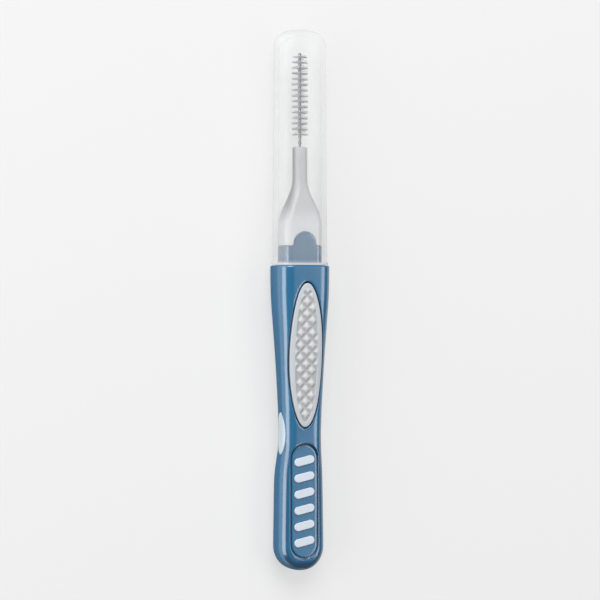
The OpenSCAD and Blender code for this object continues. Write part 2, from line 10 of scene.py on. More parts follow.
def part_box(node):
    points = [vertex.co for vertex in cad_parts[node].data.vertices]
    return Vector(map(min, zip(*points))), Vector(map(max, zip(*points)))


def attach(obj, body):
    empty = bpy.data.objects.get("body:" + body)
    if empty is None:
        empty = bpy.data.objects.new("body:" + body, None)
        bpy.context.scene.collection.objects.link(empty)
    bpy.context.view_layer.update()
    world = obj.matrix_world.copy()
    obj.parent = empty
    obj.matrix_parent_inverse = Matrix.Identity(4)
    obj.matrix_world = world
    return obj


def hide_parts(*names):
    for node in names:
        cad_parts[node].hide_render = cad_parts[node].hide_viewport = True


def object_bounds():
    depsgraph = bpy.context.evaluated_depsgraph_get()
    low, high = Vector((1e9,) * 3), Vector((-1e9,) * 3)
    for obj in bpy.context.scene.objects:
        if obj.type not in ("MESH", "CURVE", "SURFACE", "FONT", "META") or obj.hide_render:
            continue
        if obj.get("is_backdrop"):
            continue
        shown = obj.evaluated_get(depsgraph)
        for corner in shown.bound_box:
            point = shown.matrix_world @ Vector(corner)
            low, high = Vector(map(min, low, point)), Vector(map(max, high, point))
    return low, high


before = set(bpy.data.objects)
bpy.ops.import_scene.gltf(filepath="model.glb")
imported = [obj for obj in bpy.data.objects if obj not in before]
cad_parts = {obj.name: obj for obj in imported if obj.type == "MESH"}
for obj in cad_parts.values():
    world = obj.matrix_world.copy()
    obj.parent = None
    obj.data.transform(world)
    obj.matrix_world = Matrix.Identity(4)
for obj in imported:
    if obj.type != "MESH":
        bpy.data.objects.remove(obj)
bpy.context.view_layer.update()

bl_info = {
    "name": "Interdental brush",
    "version": (1, 0, 0),
    "blender": (4, 5, 0),
    "location": "View3D > Sidebar > Brush",
    "description": "Builds an interdental brush and its travel cap on the packed frame",
    "category": "Add Mesh",
}

MM = 0.001
# Points of a piece closer than this, in metres, become one
MERGE = 1e-8

# All lengths below are in mm, and places along the brush are from the shoulder.
# Fullness of the grip's outline between the waist and each end, along the grip
UPPER_OUTLINE = [(0, 1), (0.06, 0.98), (0.12, 0.9), (0.18, 0.73), (0.25, 0.54),
                 (0.33, 0.35), (0.41, 0.2), (0.48, 0.07), (0.55, 0)]
LOWER_OUTLINE = [(0.55, 0), (0.6, 0.08), (0.64, 0.36), (0.68, 0.62), (0.74, 0.77),
                 (0.81, 0.86), (0.88, 0.95), (0.93, 1)]
# Shares of the grip's length: the waist, and where the thick ends stop thinning or start to
WAIST_SHARE, SHOULDER_FLAT_SHARE, TAIL_FLAT_SHARE = 0.55, 0.02, 0.72
# Powers of the rounded ends, and the largest edge radius as a share of a section's half-size
TAIL_PLAN_POWER, TAIL_DEPTH_POWER, DOME_POWER = 2.2, 3, 2.6
ROUND_SHARE = 0.97
# How far the round back would reach below the surface that it rests on
REST_PAST = 0.03

# Each corner, front or back flat and side flat of a section: its steps, and the length that it
# takes when the grip's outside is unrolled
CORNER_STEPS, FACE_STEPS, SIDE_STEPS = 12, 16, 8
CORNER_SPAN, FACE_SPAN, SIDE_SPAN = 2.4, 3.4, 2.2
# The unrolled outside starts at a seam near the middle of the lower right corner. It swerves
# between the rear pad and a side window, by these lengths before and after this stretch
SEAM = 6.5
SEAM_SWERVE = (0.27, -0.5)
SWERVE_FROM, SWERVE_OVER = 15, 7
# Points closer than this on the unrolled outside count as on its seam
NEAR = 1e-3

# Turns of roundings: any quarter, the shoulder's rim, the tail, a boss's crown and its edge,
# the cap's dome
QUARTER = np.radians([22, 45, 68, 90])
RIM_TURN = np.radians([0, 25, 45, 65, 90])
TAIL_TURN = np.radians(np.arange(5, 90, 5))
CROWN_TURN = np.radians(np.arange(6, 90, 6))
BOSS_TURN = np.radians([0, 30, 60, 90])
DOME_TURN = np.radians(np.arange(3, 90, 3))

# Grip: rows of points along it, points round its openings, the roundings of their lips, the
# rings of points over a lip, and the clear space round it
GRIP_ROWS = 132
PAD_STEPS, WINDOW_STEPS, PANEL_STEPS = 200, 120, 240
WINDOW_LIP, PANEL_LIP = 0.03, 0.06
LIP_SHARES = (1, 0.62, 0.3, 0.08, 0)
OPENING_MARGIN = 0.1
# Roundings of the groove's bottom and of the panel's edge
GROOVE_ROUND, PANEL_ROUND = 0.06, 0.05
# First step down a pad's recess, and how far the recesses and windows cut past the cavity
RECESS_STEP, RECESS_PAST, WINDOW_PAST = 0.16, 0.04, 0.21
# Band and tongues: rows up the plug, rings below their edge, points across a tongue, the fillet
# at its foot, and how far the shell's inside and the cavity reach past the band
SLEEVE_ROWS, TONGUE_STEPS = 8, 31
SLEEVE_DROPS = (0.11, 0.075, 0.045, 0.02, 0.006, 0)
TONGUE_FILLET, SLEEVE_PAST, CAVITY_PAST = 0.05, 0.05, 0.4
# The grooves are darkened with painted shade from this depth over this stretch, those round the
# pads by a share, up to this far past them and where the face is this far from the axis
SHADE_FROM, SHADE_OVER, PAD_GROOVE_SHADE = 0.11, 0.12, 0.45
SHADE_CLEAR, FACE_FROM = 0.03, 1

# Core: rows along it, rings up the lip where the plug rises from the band, the lip's rounding,
# the bore's bevel, a boss's edge and how far the boss reaches into the bar
PLUG_ROWS, FLARE_ROWS, NOZZLE_ROWS = 6, 28, 6
PLUG_RISES = (0, 0.006, 0.02, 0.045, 0.08)
PLUG_CLEAR, PLUG_LIP, BORE_BEVEL = 0.1, 0.06, 0.03
BOSS_ROUND, BOSS_PAST, BOSS_FROM = 0.04, 0.19, -1
# It clears towards the neck from here over this stretch, less on the front than on the flanks,
# which start at a share of the half-width. Part of the neck's grey is its clear plastic; the
# more on the flanks is painted shade
NECK_FROM, NECK_OVER, NECK_FRONT = 5, 3.5, 0.57
NECK_SHADE_FLANK, NECK_SHADE_FLANK_OVER = 0.68, 0.3
# What lies past a surface by this is on the far side of it
CLEAR = 0.05

# Pads: rings in from the edge, the step from rim to field, the field's grid and its margin, the
# first step down the wall, the wall's shade, and halvings that find a depth
RIM_INSETS = (0, 0.008, 0.03, 0.07, 0.12)
RIM_STEP, FIELD_STEP, FIELD_GAP = 0.1, 0.12, 0.02
PAD_WALL_STEP, PAD_WALL_SHADE = 0.14, 0.5
HALVINGS = 32
# Shares of a diamond's half-size where its slope starts and ends, the gap round it, and the
# contours drawn round it, with the steps on each side
DIAMOND_FOOT, DIAMOND_TOP, DIAMOND_GAP = 1.12, 0.4, 0.06
DIAMOND_CONTOURS = ((1.12, 6), (0.94, 5), (0.76, 4), (0.58, 3), (0.4, 2))

# Bars: their slant, points, share of these on the round ends, edge and the ring inside it
BAR_LEAN, BAR_STEPS, BAR_TURN_SHARE = 0.22, 64, 0.8
BAR_ROUND, BAR_TOP_INSET = 0.07, 0.12

# Wire: steps round its fold. Filaments: steps along and round one, the share of the field that
# tapers at the tip, by how much, and the shortest against the longest elsewhere
FOLD_STEPS = 15
FILAMENT_STEPS, FILAMENT_SIDES = 7, 5
TAPER_SHARE, TAPER, SHORTEST = 0.05, 0.28, 0.95

# Cap: rows, then its mouth's outline: below the bead's end and above the mouth, each with a
# share of the bead's stand, and the inner edge with how far it opens
CAP_OUTER_ROWS, CAP_INNER_ROWS = 44, 40
BEAD_TOP = ((0, 0.06), (0.05, 0.35), (0.1, 0.8), (0.16, 1))
BEAD_FOOT = ((0.14, 1), (0.06, 0.85), (0.02, 0.5), (0, 0))
MOUTH_EDGE = ((0, 0.08), (0.02, 0.03), (0.08, 0))
BEAD_CLEAR, MOUTH_CLEAR = 0.06, 0.3
# How milky it is on its flats, what its flanks, dome, lip and clear ring add, and where
VEIL = 0.09
VEIL_FLANK, FLANK_FROM, FLANK_OVER = 0.18, 2.1, 1.4
VEIL_DOME, DOME_OVER = 0.2, 1.2
VEIL_LIP, LIP_AT, LIP_REACH = 0.6, 0.12, 0.22
VEIL_RING, RING_AT, RING_REACH = -0.075, 0.1, 0.2

# Size of the faint clouds in a moulded colour
CLOUD_SIZE = 3.2

# Each light: its angle to the left of straight above and its angle towards the tip, then its
# width, length and power. Lengths of the stage are in metres
LIGHTS = (("left_side", 69, 0, 0.2, 0.42, 0.78), ("right_strip", -39, 0, 0.14, 0.3, 0.33),
          ("ahead_soft", 12, 45, 0.34, 0.3, 1.9))
LIGHT_DISTANCE = 0.3
WORLD_STRENGTH = 0.15
FLOOR_HALF, FLOOR_DROP = 3, 2e-5
# The floor's glow, its shares to the camera and in reflections, and the dim light of its painted
# shade where reflections see it dark, up to this many mm from the brush's middle and fading over
# as many more
FLOOR_GLOW, FLOOR_SEEN, FLOOR_MIRRORED = 0.85, 0.65, 0.45
FLOOR_REFLECTED_SHADE, DARK_SHARE, DARK_TO, DARK_OVER = 0.15, 0.85, 4.8, 2.4
# The view: its turn to the left in degrees, the brush's length in an image of this height, and
# the lens
VIEW_TURN = 22.5
IMAGE_H, BRUSH_H = 600, 540
LENS = 150


def length(name, description, mm):
    return bpy.props.FloatProperty(name=name, description=description, default=mm * MM,
                                   min=0, precision=6, unit="LENGTH")


def count(name, description, default):
    return bpy.props.IntProperty(name=name, description=description, default=default, min=1)


def colour(name, description, rgb):
    return bpy.props.FloatVectorProperty(name=name, description=description, default=rgb,
                                         size=3, min=0, max=1, subtype="COLOR")


class BrushLengths(bpy.types.PropertyGroup):
    """Lengths of the brush and its cap"""

    grip_l: length("Grip length", "From the shoulder to the end of the tail", 41.6)
    shoulder_w: length("Shoulder width", "Width of the grip where the cap seats", 7.54)
    waist_w: length("Waist width", "Width at the narrowest place", 5.64)
    tail_w: length("Tail width", "Width of the tail", 6.6)
    shoulder_front: length("Shoulder front", "Front face above the axis at the shoulder", 2.8)
    waist_front: length("Waist front", "Front face above the axis at the waist", 1.95)
    tail_front: length("Tail front", "Front face above the axis at the tail", 1.65)
    rest_h: length("Axis height", "Axis above the surface that the brush lies on", 2.8)
    waist_back: length("Waist back", "Back face below the axis at the waist", 2)
    shoulder_edge_r: length("Shoulder edge", "Radius of the long edges at the shoulder", 1.7)
    grip_edge_r: length("Grip edge", "Radius of the long edges at the waist and tail", 1.5)
    tail_round_l: length("Tail rounding", "Length of the rounded end of the tail", 3.5)
    rim_bevel: length("Rim rounding", "Rounding of the shoulder's rim", 0.22)
    plug_w: length("Plug width", "Width of the plug that the cap slides over", 5.5)
    plug_d: length("Plug depth", "Depth of the plug", 3.74)
    plug_edge_r: length("Plug edge", "Radius of the plug's long edges", 0.95)
    plug_l: length("Plug length", "From the shoulder to the flare", 5.4)
    flare_l: length("Flare length", "From the plug to the nozzle", 6.5)
    nozzle_l: length("Nozzle length", "Length of the slender nozzle", 4.3)
    nozzle_d: length("Nozzle diameter", "Diameter of the nozzle", 2)
    nozzle_bevel: length("Nozzle rounding", "Rounding of the nozzle's end", 0.2)
    spine_w: length("Inner bar width", "Width of the bar inside the grip", 3.5)
    spine_d: length("Inner bar depth", "Depth of the bar inside the grip", 2.2)
    tail_wall: length("Tail wall", "Soft shell behind the bar's end", 3.4)
    bond_gap: length("Bond", "Bonding gap between the core and the shell", 0.02)
    band_l: length("Band length", "Length of the soft band round the plug", 2.7)
    band_t: length("Band thickness", "Thickness of the band and the tongues", 0.4)
    tongue_w: length("Tongue width", "Width of the tongues on the plug's flats", 3.4)
    tongue_l: length("Tongue reach", "Reach of the tongues from the shoulder", 4.6)
    window_l: length("Window length", "Length of the side windows", 5.8)
    window_h: length("Window height", "Height of the side windows", 2.4)
    window_sink: length("Window sink", "Depth of a window's insert below the grip", 0.02)
    pad_w: length("Pad width", "Width of a grip pad", 4.7)
    pad_place: length("Pad place", "Distance of the pads from the shoulder", 2.4)
    pad_waist_gap: length("Pad end gap", "Distance of the pads' other end from the waist", 0.9)
    pad_groove: length("Pad groove", "Groove left round a pad", 0.24)
    pad_proud: length("Pad height", "Height of a pad's rim above the grip", 0.12)
    pad_rim: length("Pad rim", "Width of a pad's plain rim", 0.66)
    pad_field_sink: length("Field sink", "Depth of the textured field below the rim", 0.12)
    diamond_w: length("Diamond width", "Width of a raised diamond", 1.3)
    diamond_l: length("Diamond length", "Length of a raised diamond", 1.4)
    diamond_pitch: length("Diamond spacing", "Spacing along and across the pad", 1.7)
    diamond_shift: length("Diamond shift", "Shift from the pad's middle to the shoulder", 0.45)
    diamond_h: length("Diamond height", "Height of a diamond above the field", 0.2)
    panel_w: length("Panel width", "Width of the sunk panel", 4.2)
    panel_place: length("Panel place", "From the end of the tail to the panel", 1.6)
    panel_waist_gap: length("Panel end gap", "From the waist to the panel", 1.3)
    panel_sink: length("Panel depth", "Depth of the panel's floor", 0.1)
    groove_w: length("Groove width", "Width of the groove round the panel", 0.28)
    groove_d: length("Groove depth", "Depth of the groove below the grip", 0.3)
    mark_l: length("Bar length", "Length of a raised bar", 2.9)
    mark_w: length("Bar width", "Width of a raised bar", 1.1)
    mark_h: length("Bar height", "Height of a bar above the panel's floor", 0.2)
    mark_pitch: length("Bar spacing", "Spacing of the raised bars", 2.2)
    mark_end_gap: length("Bar end gap", "Least distance of the bars from the panel's ends", 1.3)
    wire_d: length("Wire diameter", "Diameter of the wire", 0.2)
    twist_pitch: length("Twist", "Length of one full turn of the wire", 1.52)
    wire_hold_l: length("Wire hold", "Length of wire held in the nozzle", 6)
    wire_gap: length("Wire gap", "Clearance of the wire in its bore", 0.01)
    bare_l: length("Bare wire", "Between the nozzle and the first filaments", 1.7)
    bristle_l: length("Field length", "Length of the filament field", 10.9)
    bristle_d: length("Field diameter", "Diameter across the filament tips", 2.3)
    tip_bare_l: length("Tip gap", "Between the last filaments and the fold", 0.06)
    nip_t: length("Nip", "Thickness of the filaments between the wire's legs", 0.05)
    nip_gap: length("Nip gap", "Clearance between the filaments and each leg", 0.005)
    filament_t: length("Filament", "Thickness of a filament", 0.07)
    cap_fit: length("Cap fit", "Clearance between the cap and the plug", 0.09)
    cap_wall: length("Cap wall", "Wall of the cap", 0.7)
    cap_draft: length("Cap draft", "Narrowing of the cap on each side", 0.16)
    cap_dome_l: length("Cap dome", "Height of the cap's domed end", 2.5)
    cap_end_t: length("Cap end", "Thickness of the cap's closed end", 0.8)
    tip_room: length("Tip room", "Between the wire's tip and the cap's end", 2.3)
    seat_gap: length("Seat gap", "Between the cap's mouth and the shoulder", 0.04)
    bead_l: length("Bead", "Height of the bead round the cap's mouth", 0.5)
    bead_proud: length("Bead stand", "How far the bead stands out", 0.1)
    edge_round: length("Soft edges", "Rounding of the openings' edges", 0.09)


class BrushCounts(bpy.types.PropertyGroup):
    """Counts of what repeats"""

    filaments: count("Filaments", "Filaments nipped in the wire, each with two ends", 210)
    wire_sides: count("Wire sides", "Sides of the wire's round section", 14)
    turn_steps: count("Turn steps", "Steps in one turn of the wire", 24)
    seed: count("Seed", "Start of the random numbers for the filaments", 7)


class BrushColours(bpy.types.PropertyGroup):
    """Colours of the brush and the stage"""

    core: colour("Core", "White moulded core", (0.55, 0.566, 0.574))
    # The neck's grey: in part the tone of its clear plastic, on its flanks painted shade
    neck: colour("Neck", "Flanks of the thin clear neck", (0.22, 0.22, 0.22))
    # Painted reflection: the bluish tone that the bosses take, though they are the same white
    # core plastic
    boss: colour("Boss", "Bosses in the side windows", (0.5, 0.58, 0.64))
    shell: colour("Shell", "Blue soft shell", (0.01, 0.118, 0.245))
    sleeve: colour("Sleeve", "Thin band and tongues on the plug", (0.008, 0.092, 0.185))
    # Painted shade: the dark colour that the grooves and the pads' walls take by their depth
    groove: colour("Groove", "Depth of the narrow grooves", (0.01, 0.058, 0.13))
    pad_rim: colour("Pad rim", "Plain rims of the grip pads", (0.45, 0.485, 0.52))
    pad: colour("Pad", "Diamonds on the grip pads", (0.53, 0.545, 0.555))
    # Painted shade: the darker grey of the sunk field between the diamonds
    pad_field_shade: colour("Pad field", "Sunk field between the pads' diamonds", (0.37, 0.38, 0.38))
    bars: colour("Bars", "Raised bars on the panel", (0.56, 0.62, 0.69))
    steel: colour("Steel", "Twisted wire", (0.28, 0.285, 0.29))
    # Painted shade: white nylon given a darker grey for the shade the filaments cast on one
    # another
    nylon: colour("Nylon", "Filaments", (0.36, 0.37, 0.38))
    cap: colour("Cap", "Frosted cap", (0.8, 0.81, 0.82))
    floor: colour("Floor", "Floor under the brush", (0.76, 0.76, 0.76))


def ease(u):
    """A rise from 0 to 1 that starts and ends level."""
    return (1 - np.cos(np.pi * np.clip(u, 0, 1))) / 2


def ramp(value, start, over):
    """A straight rise from 0 to 1 over a distance, level before and after it."""
    return np.clip((value - start) / over, 0, 1)


def hump(value, middle, reach):
    """A straight rise from 0 to 1 at a middle, and the same fall after it."""
    return np.clip(1 - np.abs(value - middle) / reach, 0, 1)


def steps_to(n):
    """Shares of a stretch in equal steps, from the first step to the whole."""
    return np.arange(1, n + 1) / n


def mix(a, b, u):
    return a + (b - a) * u


def table_curve(table, t):
    """A smooth curve through a table of shares."""
    x, y = np.array(table, float).T
    before = np.maximum(np.arange(len(x)) - 1, 0)
    after = np.minimum(np.arange(len(x)) + 1, len(x) - 1)
    slope = (y[after] - y[before]) / (x[after] - x[before])
    i = np.clip(np.searchsorted(x, t) - 1, 0, len(x) - 2)
    w = x[i + 1] - x[i]
    u = np.clip((t - x[i]) / w, 0, 1)
    return (y[i] * (1 + 2 * u) * (1 - u) ** 2 + slope[i] * w * u * (1 - u) ** 2
            + y[i + 1] * u * u * (3 - 2 * u) + slope[i + 1] * w * u * u * (u - 1))


def rounded_off(u, power):
    """What is left of a half-width where an end is rounded over, from 1 to 0."""
    return np.maximum(0, 1 - np.clip(u, 0, 1) ** power) ** (1 / power)


def edge_fall(inside, radius):
    """How far a rounded edge lies below its face, at a distance in from the edge."""
    short = np.clip(1 - inside / radius, 0, 1)
    return radius * (1 - np.sqrt(1 - short ** 2))


def crown(across, half_w, height, edge):
    """Height of a rounded section's face at a distance from its middle."""
    past = np.clip(np.abs(across) - (half_w - edge), 0, edge)
    return height - edge + np.sqrt(edge ** 2 - past ** 2)


def on_section(c, half_w, front, back, edge):
    """Points and outward directions round a rounded section. The whole numbers of c, from 0 to
    8, are where a corner or a flat starts, from the upper right corner to the left."""
    k = np.floor(c).astype(int) % 8
    t = c - np.floor(c)
    q = k // 2
    flat = k % 2 == 1

    def centre(q):
        q = q % 4
        return (np.where((q == 0) | (q == 3), 1, -1) * (half_w - edge),
                np.where(q < 2, front - edge, edge - back))

    (x0, z0), (x1, z1) = centre(q), centre(q + 1)
    along = np.where(flat, t, 0)
    a = np.pi / 2 * np.where(flat, q + 1, q + t)
    out = np.stack([np.cos(a), np.sin(a)], -1)
    middle = np.stack([mix(x0, x1, along), mix(z0, z1, along)], -1)
    return middle + np.expand_dims(edge * np.ones_like(t), -1) * out, out


SPANS = np.concatenate([[0], np.cumsum([CORNER_SPAN, FACE_SPAN, CORNER_SPAN, SIDE_SPAN] * 4)])


def unroll(c):
    """Distance round the unrolled grip of a place round its section."""
    return np.interp(c, np.arange(len(SPANS)), SPANS)


def roll(u):
    return np.interp(u, SPANS, np.arange(len(SPANS)))


def seam_shift(v):
    """How far the seam swerves, in mm, to pass between the rear pad and a side window."""
    return mix(*SEAM_SWERVE, ease((v - SWERVE_FROM) / SWERVE_OVER))


def round_places(start=0):
    """Places round a whole section, denser where it bends."""
    steps = [CORNER_STEPS, FACE_STEPS, CORNER_STEPS, SIDE_STEPS] * 4
    every = np.concatenate([i + np.arange(n) / n for i, n in enumerate(steps)])
    past = every - start + 1e-9
    return every[(past >= 0) & (past < 8)]


class Form:
    """The brush's lengths in mm, and the places and sections that follow from them. Heights are
    from the wire's axis. Places along the brush, s, are from the shoulder, + towards the tip."""

    def __init__(self, scene):
        for key in BrushLengths.__annotations__:
            setattr(self, key, getattr(scene.brush_lengths, key) / MM)
        self.shoulder_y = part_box("grip_shell")[0].y / MM + self.grip_l
        self.flare_at = self.plug_l
        self.nozzle_at = self.flare_at + self.flare_l
        self.neck_end = self.nozzle_at + self.nozzle_l
        self.bristles_at = self.neck_end + self.bare_l
        self.bristles_end = self.bristles_at + self.bristle_l
        self.leg_r = (self.wire_d + self.nip_t) / 2 + self.nip_gap
        self.fold_at = self.bristles_end + self.tip_bare_l
        self.wire_tip = self.fold_at + self.leg_r + self.wire_d / 2
        self.cap_inner_end = self.wire_tip + self.tip_room
        self.cap_top = self.cap_inner_end + self.cap_end_t
        self.tail_round_at = self.grip_l - self.tail_round_l
        self.waist_at = WAIST_SHARE * self.grip_l
        self.spine_l = self.grip_l - self.tail_wall
        self.pad_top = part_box("front_grip_pad")[1].z / MM - self.rest_h
        self.pad_l = self.waist_at - self.pad_waist_gap - self.pad_place
        self.pad_centre = -(self.pad_place + self.pad_l / 2)
        self.panel_l = self.grip_l - self.panel_place - self.waist_at - self.panel_waist_gap
        self.panel_centre = -(self.grip_l - self.panel_place - self.panel_l / 2)
        self.bore_r = self.leg_r + self.wire_d / 2 + self.wire_gap
        self.seat_w = self.plug_w - 2 * self.band_t
        self.seat_d = self.plug_d - 2 * self.band_t
        self.seat_edge_r = self.plug_edge_r - self.band_t / 2

    def place(self, points):
        """Points by the shoulder and the axis, in mm, as points of the row frame in metres."""
        moved = np.asarray(points, float) + (0, self.shoulder_y, self.rest_h)
        return moved * MM

    def unplace(self, points):
        """Points of the row frame as points by the shoulder and the axis, in mm."""
        return np.array([tuple(p) for p in points]) / MM - (0, self.shoulder_y, self.rest_h)

    def half_w(self, s):
        t = -s / self.grip_l
        return self.waist_w / 2 + np.where(
            t < WAIST_SHARE,
            (self.shoulder_w - self.waist_w) / 2 * table_curve(UPPER_OUTLINE, t),
            (self.tail_w - self.waist_w) / 2 * table_curve(LOWER_OUTLINE, t))

    def thinned(self, s, shoulder, waist, tail, flat_share=0):
        """A height that eases from the shoulder to the waist and on to the tail."""
        t = -s / self.grip_l
        return np.where(
            t < WAIST_SHARE,
            mix(shoulder, waist, ease((t - flat_share) / (WAIST_SHARE - flat_share))),
            mix(waist, tail, ease((t - WAIST_SHARE) / (TAIL_FLAT_SHARE - WAIST_SHARE))))

    def front(self, s):
        return self.thinned(s, self.shoulder_front, self.waist_front, self.tail_front)

    def back(self, s):
        full = self.rest_h + REST_PAST
        return self.thinned(s, full, self.waist_back, full, SHOULDER_FLAT_SHARE)

    def edge(self, s):
        return mix(self.shoulder_edge_r, self.grip_edge_r, ease(-s / self.grip_l / WAIST_SHARE))

    def grip_dims(self, s):
        """Half-width, front, back and edge radius of the grip, with its tail and rim rounded."""
        s = np.asarray(s, float)
        tail = (-s - self.tail_round_at) / self.tail_round_l
        half_w = self.half_w(s) * rounded_off(tail, TAIL_PLAN_POWER)
        depth = rounded_off(tail, TAIL_DEPTH_POWER)
        front, back = self.front(s) * depth, self.back(s) * depth
        least = np.minimum(np.minimum(half_w, front), back)
        edge = np.minimum(self.edge(s), ROUND_SHARE * least)
        inset = edge_fall(-s, self.rim_bevel)
        return half_w - inset, front - inset, back - inset, edge - inset

    def grip_point(self, u, v, depth):
        """Points of the grip, at a distance round it, one back from the shoulder and a depth."""
        xz, out = on_section(roll(u + seam_shift(v)), *self.grip_dims(-v))
        x, z = (xz - depth[:, None] * out).T
        return np.stack([x, -v, np.maximum(z, -self.rest_h)], -1)

    def face_place(self, x, s, back):
        """Place round the section of a point on the front or the back, from its distance x."""
        half_w, _, _, edge = self.grip_dims(s)
        corner = np.arccos(np.clip((np.abs(x) - (half_w - edge)) / edge, 0, 1)) / (np.pi / 2)
        flat = x / (2 * (half_w - edge))
        on_flat = np.abs(x) <= half_w - edge
        if back:
            place = np.where(on_flat, 5.5 + flat, np.where(x > 0, 7 - corner, 4 + corner))
        else:
            place = np.where(on_flat, 1.5 - flat, np.where(x > 0, corner, 3 - corner))
        return place + 8

    def side_place(self, z, s, side):
        """Place round the section of a point on the right or the left, from its height z."""
        _, front, back, edge = self.grip_dims(s)
        up, down = front - edge, edge - back
        over = np.arcsin(np.clip((z - up) / edge, 0, 1)) / (np.pi / 2)
        under = np.arcsin(np.clip((down - z) / edge, 0, 1)) / (np.pi / 2)
        place = 7 + np.clip((z - down) / (up - down), 0, 1) + over - under
        return place if side > 0 else 19 - place

    def grip_face(self, x, s, back):
        """Height of the grip's front above the axis, or of its back below it."""
        return crown(x, self.half_w(s), self.back(s) if back else self.front(s), self.edge(s))

    def grip_side(self, z, s):
        """Distance of the grip's side from the axis."""
        height = np.where(z > 0, self.front(s), self.back(s))
        return crown(z, height, self.half_w(s), self.edge(s))

    def even(self, c, s, half_w, half_d, edge, depth=0):
        """A ring of a section with equal front and back. Its place and its depth below the
        section may differ at each point."""
        edge = np.minimum(edge, ROUND_SHARE * np.minimum(half_w, half_d))
        xz, out = on_section(c, half_w, half_d, half_d, edge)
        x, z = (xz - np.reshape(depth * np.ones(len(c)), (-1, 1)) * out).T
        return np.column_stack([x, s * np.ones(len(c)), z])

    def plug(self, c, s, depth=0):
        return self.even(c, s, self.plug_w / 2, self.plug_d / 2, self.plug_edge_r, depth)

    def seat(self, c, s, gap=0):
        return self.even(c, s, self.seat_w / 2 + gap, self.seat_d / 2 + gap,
                         self.seat_edge_r + gap)

    def spine(self, c, s, gap=0):
        return self.even(c, s, self.spine_w / 2 + gap, self.spine_d / 2 + gap,
                         self.seat_edge_r / 2 + gap)

    def sleeve_columns(self):
        """Places round the plug, dense beside the tongues, and how far the soft shell reaches
        up the plug at each."""
        half_w = self.tongue_w / 2
        flat = self.plug_w / 2 - self.plug_edge_r
        step = (flat - half_w) / 3
        across = half_w * np.sin(np.radians(np.linspace(90, -90, TONGUE_STEPS)))
        across = np.concatenate([[flat, flat - step, half_w + step], across,
                                 [-half_w - step, step - flat]])
        reach = self.tongue_l - half_w + np.sqrt(np.maximum(0, half_w ** 2 - across ** 2))
        reach = np.where(np.abs(across) > half_w + 1e-6, self.band_l, reach)
        reach[[2, -2]] += TONGUE_FILLET
        face = 0.5 - across / (2 * flat)
        corner = np.arange(CORNER_STEPS) / CORNER_STEPS
        side = np.arange(SIDE_STEPS) / SIDE_STEPS
        places = np.concatenate([i + shares for i, shares in enumerate(
            [corner, face, corner, side] * 2)])
        low_corner, low_side = (np.full(len(part), self.band_l) for part in (corner, side))
        return places, np.concatenate([low_corner, reach, low_corner, low_side] * 2)


class Build:
    """Points and faces of one closed piece, in mm."""

    def __init__(self):
        self.points, self.faces = [], []

    def ring(self, points):
        """Adds points and returns their numbers."""
        start = len(self.points)
        self.points.extend(tuple(p) for p in np.asarray(points, float))
        return list(range(start, len(self.points)))

    def band(self, low, high):
        for i in range(len(low)):
            j = (i + 1) % len(low)
            self.faces.append((low[i], low[j], high[j], high[i]))

    def loft(self, rings, start=None):
        """Bands through a list of rings of points, from a ring of numbers where one is given."""
        last = start
        for points in rings:
            new = self.ring(points)
            if last is not None:
                self.band(last, new)
            last = new
        return last

    def fan(self, ring, point):
        tip = self.ring([point])[0]
        for i in range(len(ring)):
            self.faces.append((ring[i], ring[(i + 1) % len(ring)], tip))

    def lid(self, ring):
        self.faces.append(tuple(ring))

    def tube(self, rings):
        """A loft with a flat lid at each end."""
        first = len(self.points)
        last = self.loft(rings)
        self.lid(last)
        self.lid(range(first, first + len(last)))


def triangles_over(points, loops, pairs=()):
    """Triangles over points in a plane that keep each loop of point numbers, and each pair, as
    edges. Returns the plane's points, the triangles and the new number of each point."""
    edges = [(a, b) for loop in loops for a, b in zip(loop, loop[1:] + loop[:1])] + list(pairs)
    out = delaunay_2d_cdt([Vector(p) for p in points], edges, [], 0, 1e-6, True)
    number = {old: new for new, olds in enumerate(out[3]) for old in olds}
    return np.array([tuple(p) for p in out[0]]), np.array(out[2], int), number


def inside_loop(points, loop):
    """Which points of a plane lie inside a closed loop."""
    x, y = points[:, :1], points[:, 1:]
    ax, ay = loop[:, 0], loop[:, 1]
    bx, by = np.roll(ax, -1), np.roll(ay, -1)
    crosses = (ay > y) != (by > y)
    with np.errstate(divide="ignore", invalid="ignore"):
        at = ax + (y - ay) * (bx - ax) / (by - ay)
    return (crosses & (x < at)).sum(1) % 2 == 1


def distance_to(points, line):
    """Distance of points in a plane from an open line through others."""
    a, b = line[:-1], line[1:]
    ab = b - a
    ap = points[:, None, :] - a[None]
    t = np.clip((ap * ab).sum(-1) / np.maximum((ab * ab).sum(-1), 1e-12), 0, 1)
    return np.linalg.norm(ap - t[..., None] * ab, axis=-1).min(1)


def oval(half_long, half_wide, steps):
    a = 2 * np.pi * np.arange(steps) / steps
    return np.stack([half_wide * np.cos(a), -half_long * np.sin(a)], -1)


def stadium(length, width, steps, turn_share=0.5):
    """A stadium's outline, with a share of its points on the two round ends."""
    r, straight = width / 2, length / 2 - width / 2
    n = int(steps * turn_share / 2)
    m = steps // 2 - n
    turn = np.pi * np.arange(n) / n
    end = np.stack([r * np.cos(turn), straight + r * np.sin(turn)], -1)
    side = np.stack([np.full(m, -r), straight * (1 - 2 * np.arange(m) / m)], -1)
    half = np.concatenate([end, side])
    return np.concatenate([half, -half])


def mesh_object(name, points, faces):
    mesh = bpy.data.meshes.new(name)
    mesh.from_pydata([tuple(p) for p in points], [], [tuple(map(int, f)) for f in faces])
    obj = bpy.data.objects.new(name, mesh)
    bpy.context.scene.collection.objects.link(obj)
    return obj


def keep_values(obj, name, values):
    """Stores a number for each point of a mesh."""
    kept = obj.data.attributes.new(name, "FLOAT", "POINT")
    kept.data.foreach_set("value", np.asarray(values, np.float32))


